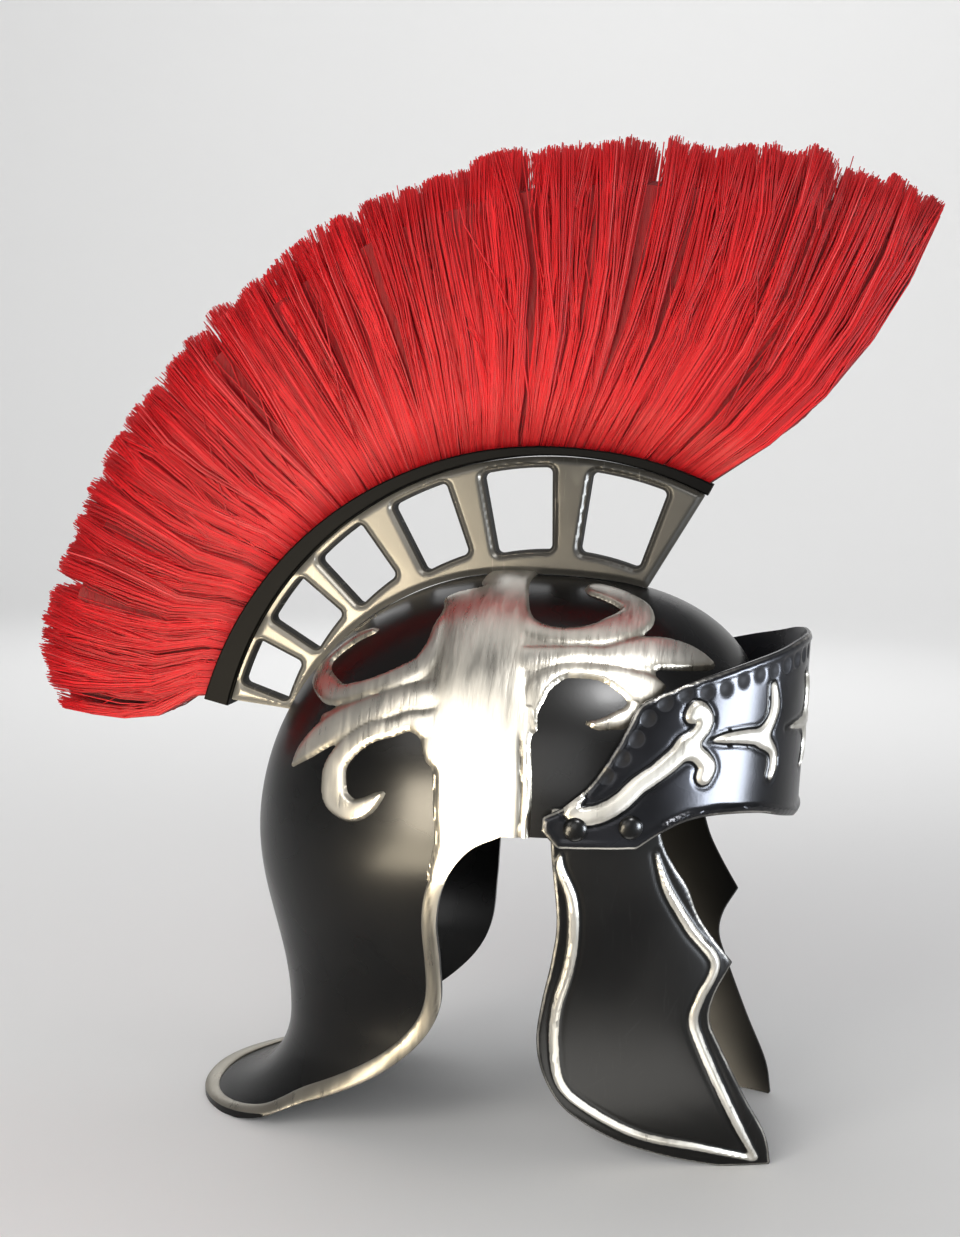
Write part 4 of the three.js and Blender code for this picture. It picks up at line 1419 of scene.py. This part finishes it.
def bristleRed():
    material, n, shader, place = bristleStart("bristle_red")
    tone, along = n.attribute("tone"), n.attribute("along")
    lock, outer = n.attribute("lock"), n.attribute("outer")
    base = n.blend(tone, (0.68, 0.006, 0.011), (0.95, 0.018, 0.026))
    base = n.blend(n.band(lock, 0.62, 1.0, 0.0, 0.45), base, (0.40, 0.004, 0.008))
    base = n.blend(n.band(tone, 0.94, 1.0), base, (1.0, 0.12, 0.12))
    # painted shade at the roots, where the bristles crowd into the channel
    base = n.blend(n.band(along, 0.0, 0.22, 0.35, 0.0), base, (0.25, 0.002, 0.005))
    # painted shade: bristles deep inside the brush and at the sides of their lock are painted darker,
    # less so at their tips, as the shade between the locks
    deep = n.band(outer, 0.40, 0.85, 0.92, 0.0)
    paintedDepthShade = n.math("MULTIPLY", deep, n.band(along, 0.72, 0.94, 1.0, 0.15))
    base = n.blend(paintedDepthShade, base, (0.12, 0.001, 0.004))
    patches = n.noise(place, 14.0, 2.0)
    base = n.blend(n.band(patches, 0.5, 0.75, 0.0, 0.25), base, (0.50, 0.005, 0.010))
    n.link(base, shader.inputs["Base Color"])
    n.link(n.band(tone, 0, 1, 0.42, 0.55), shader.inputs["Roughness"])
    return material


# Build

shellBlack = blackPlastic("black_shell_gloss")
trimBlack = blackPlastic("black_trim_satin", roughness=0.40, coat=0.0, shine=0.03)
silver = silverPaint()
cheekBlack = cheekPaint()
print("materials ready")

makeSkull(shellBlack, silver)
print("skull ready")
makeBand(visorPaint())
print("brow band ready")
for hand, side in (("right", -1), ("left", 1)):
    makeCheek(hand, side, cheekBlack)
    for name, seat in rivet["seats"].items():
        makeRivet(hand, side, name, seat, shellBlack)
print("cheek guards and rivets ready")
makeHolder(pewterPaint())
makeChannel(trimBlack)
print("crest holder ready")
makeCore(coreRed())
makeBristles(bristleRed())
print("plume ready")


# Floor, light and camera

studio = {
    "floorRadius": 2.2, "wallHeight": 1.6, "bend": 0.9, "turns": 96,
    "floorColour": (0.86, 0.86, 0.855), "floorTint": (0.88, 0.88, 0.875),
    "worldColour": (0.96, 0.97, 1), "worldStrength": 0.30,
}


def makeFloor():
    # a round floor that turns up into a low wall far from the object
    k = studio
    profile = [(0, 0), (k["floorRadius"], 0)]
    for a in np.radians(np.linspace(10, 90, 9)):
        profile.append((k["floorRadius"] + k["bend"] * math.sin(a), k["bend"] * (1 - math.cos(a))))
    profile.append((k["floorRadius"] + k["bend"], k["wallHeight"]))
    floor = newPiece("floor", turned(profile, k["turns"], 1e-5))
    smoothShade(floor, 60)
    material, n, shader, place = startMaterial("pale_floor", Roughness=1.0, Specular_IOR_Level=0.0)
    tint = n.blend(n.noise(place, 1.5, 2.0), k["floorColour"], k["floorTint"])
    n.link(tint, shader.inputs["Base Color"])
    floor.data.materials.append(material)


def areaLight(name, at, target, size, power, colour=(1, 1, 1), tall=None, card=False, yaw=0):
    # a card is only seen in reflections: it makes a highlight without lighting its surroundings
    data = bpy.data.lights.new(name, "AREA")
    data.shape = "RECTANGLE"
    data.size = size
    data.size_y = tall or size
    data.energy = power
    data.color = colour
    light = bpy.data.objects.new(name, data)
    light.location = at
    light.visible_camera = False
    light.visible_diffuse = not card
    facing = (Vector(target) - Vector(at)).to_track_quat("-Z", "Y").to_matrix()
    light.rotation_euler = (Matrix.Rotation(math.radians(yaw), 3, "Z") @ facing).to_euler()
    bpy.context.scene.collection.objects.link(light)


def makeLights():
    aim = (0.02, 0, 0.2)
    areaLight("key", (-0.75, -1.5, 1.05), aim, 0.9, 13, (1, 0.97, 0.93))
    areaLight("front", (0.22, -1.35, 0.50), aim, 0.65, 5)
    areaLight("top", (0.0, 0.2, 1.8), aim, 1.2, 4)
    areaLight("back", (-0.4, 1.6, 1.1), aim, 1.1, 4)
    areaLight("backdrop", (0.0, 1.2, 2.0), (0, 3.0, 0.7), 1.5, 24)
    areaLight("table_card", (-0.20, -0.47, 0.012), (-0.20, -0.47, 1), 0.13, 6, (1, 0.87, 0.64),
              tall=0.55, card=True, yaw=-24)
    areaLight("table_edge_card", (-0.25, -0.74, 0.11), (0.005, -0.095, 0.15), 0.32, 10,
              (1, 0.88, 0.68), tall=0.22, card=True)
    areaLight("cheek_card", (0.105, -0.105, 0.004), (0.105, -0.105, 1), 0.11, 0.08,
              (1, 0.98, 0.93), tall=0.05, card=True)
    areaLight("window_card", (1.0, -0.27, 0.16), (0.1, -0.06, 0.18), 0.42, 34, (0.86, 0.92, 1),
              tall=0.30, card=True)
    areaLight("glare_card", (0.467, -0.606, 0.971), (0.077, -0.076, 0.211), 0.20, 12, card=True)
    world = bpy.data.worlds.new("studio")
    world.use_nodes = True
    background = world.node_tree.nodes["Background"]
    background.inputs["Color"].default_value = (*studio["worldColour"], 1)
    background.inputs["Strength"].default_value = studio["worldStrength"]
    bpy.context.scene.world = world


view = {"azimuth": 10, "elevation": 6, "roll": 1.6, "target": (0.009, 0, 0.231),
        "distance": 0.760, "lens": 47.55}


def makeCamera():
    a, e, r = (math.radians(view[k]) for k in ("azimuth", "elevation", "roll"))
    back = Vector((math.sin(a) * math.cos(e), -math.cos(a) * math.cos(e), math.sin(e)))
    right = Vector((math.cos(a), math.sin(a), 0))
    up = back.cross(right)
    turnedRight = right * math.cos(r) + up * math.sin(r)
    turnedUp = up * math.cos(r) - right * math.sin(r)
    data = bpy.data.cameras.new("camera")
    data.lens = view["lens"]
    data.sensor_width = 36
    camera = bpy.data.objects.new("camera", data)
    at = Vector(view["target"]) + back * view["distance"]
    turn = Matrix((turnedRight, turnedUp, back)).transposed().to_4x4()
    camera.matrix_world = Matrix.Translation(at) @ turn
    bpy.context.scene.collection.objects.link(camera)
    bpy.context.scene.camera = camera


makeFloor()
makeLights()
makeCamera()
print("studio ready")
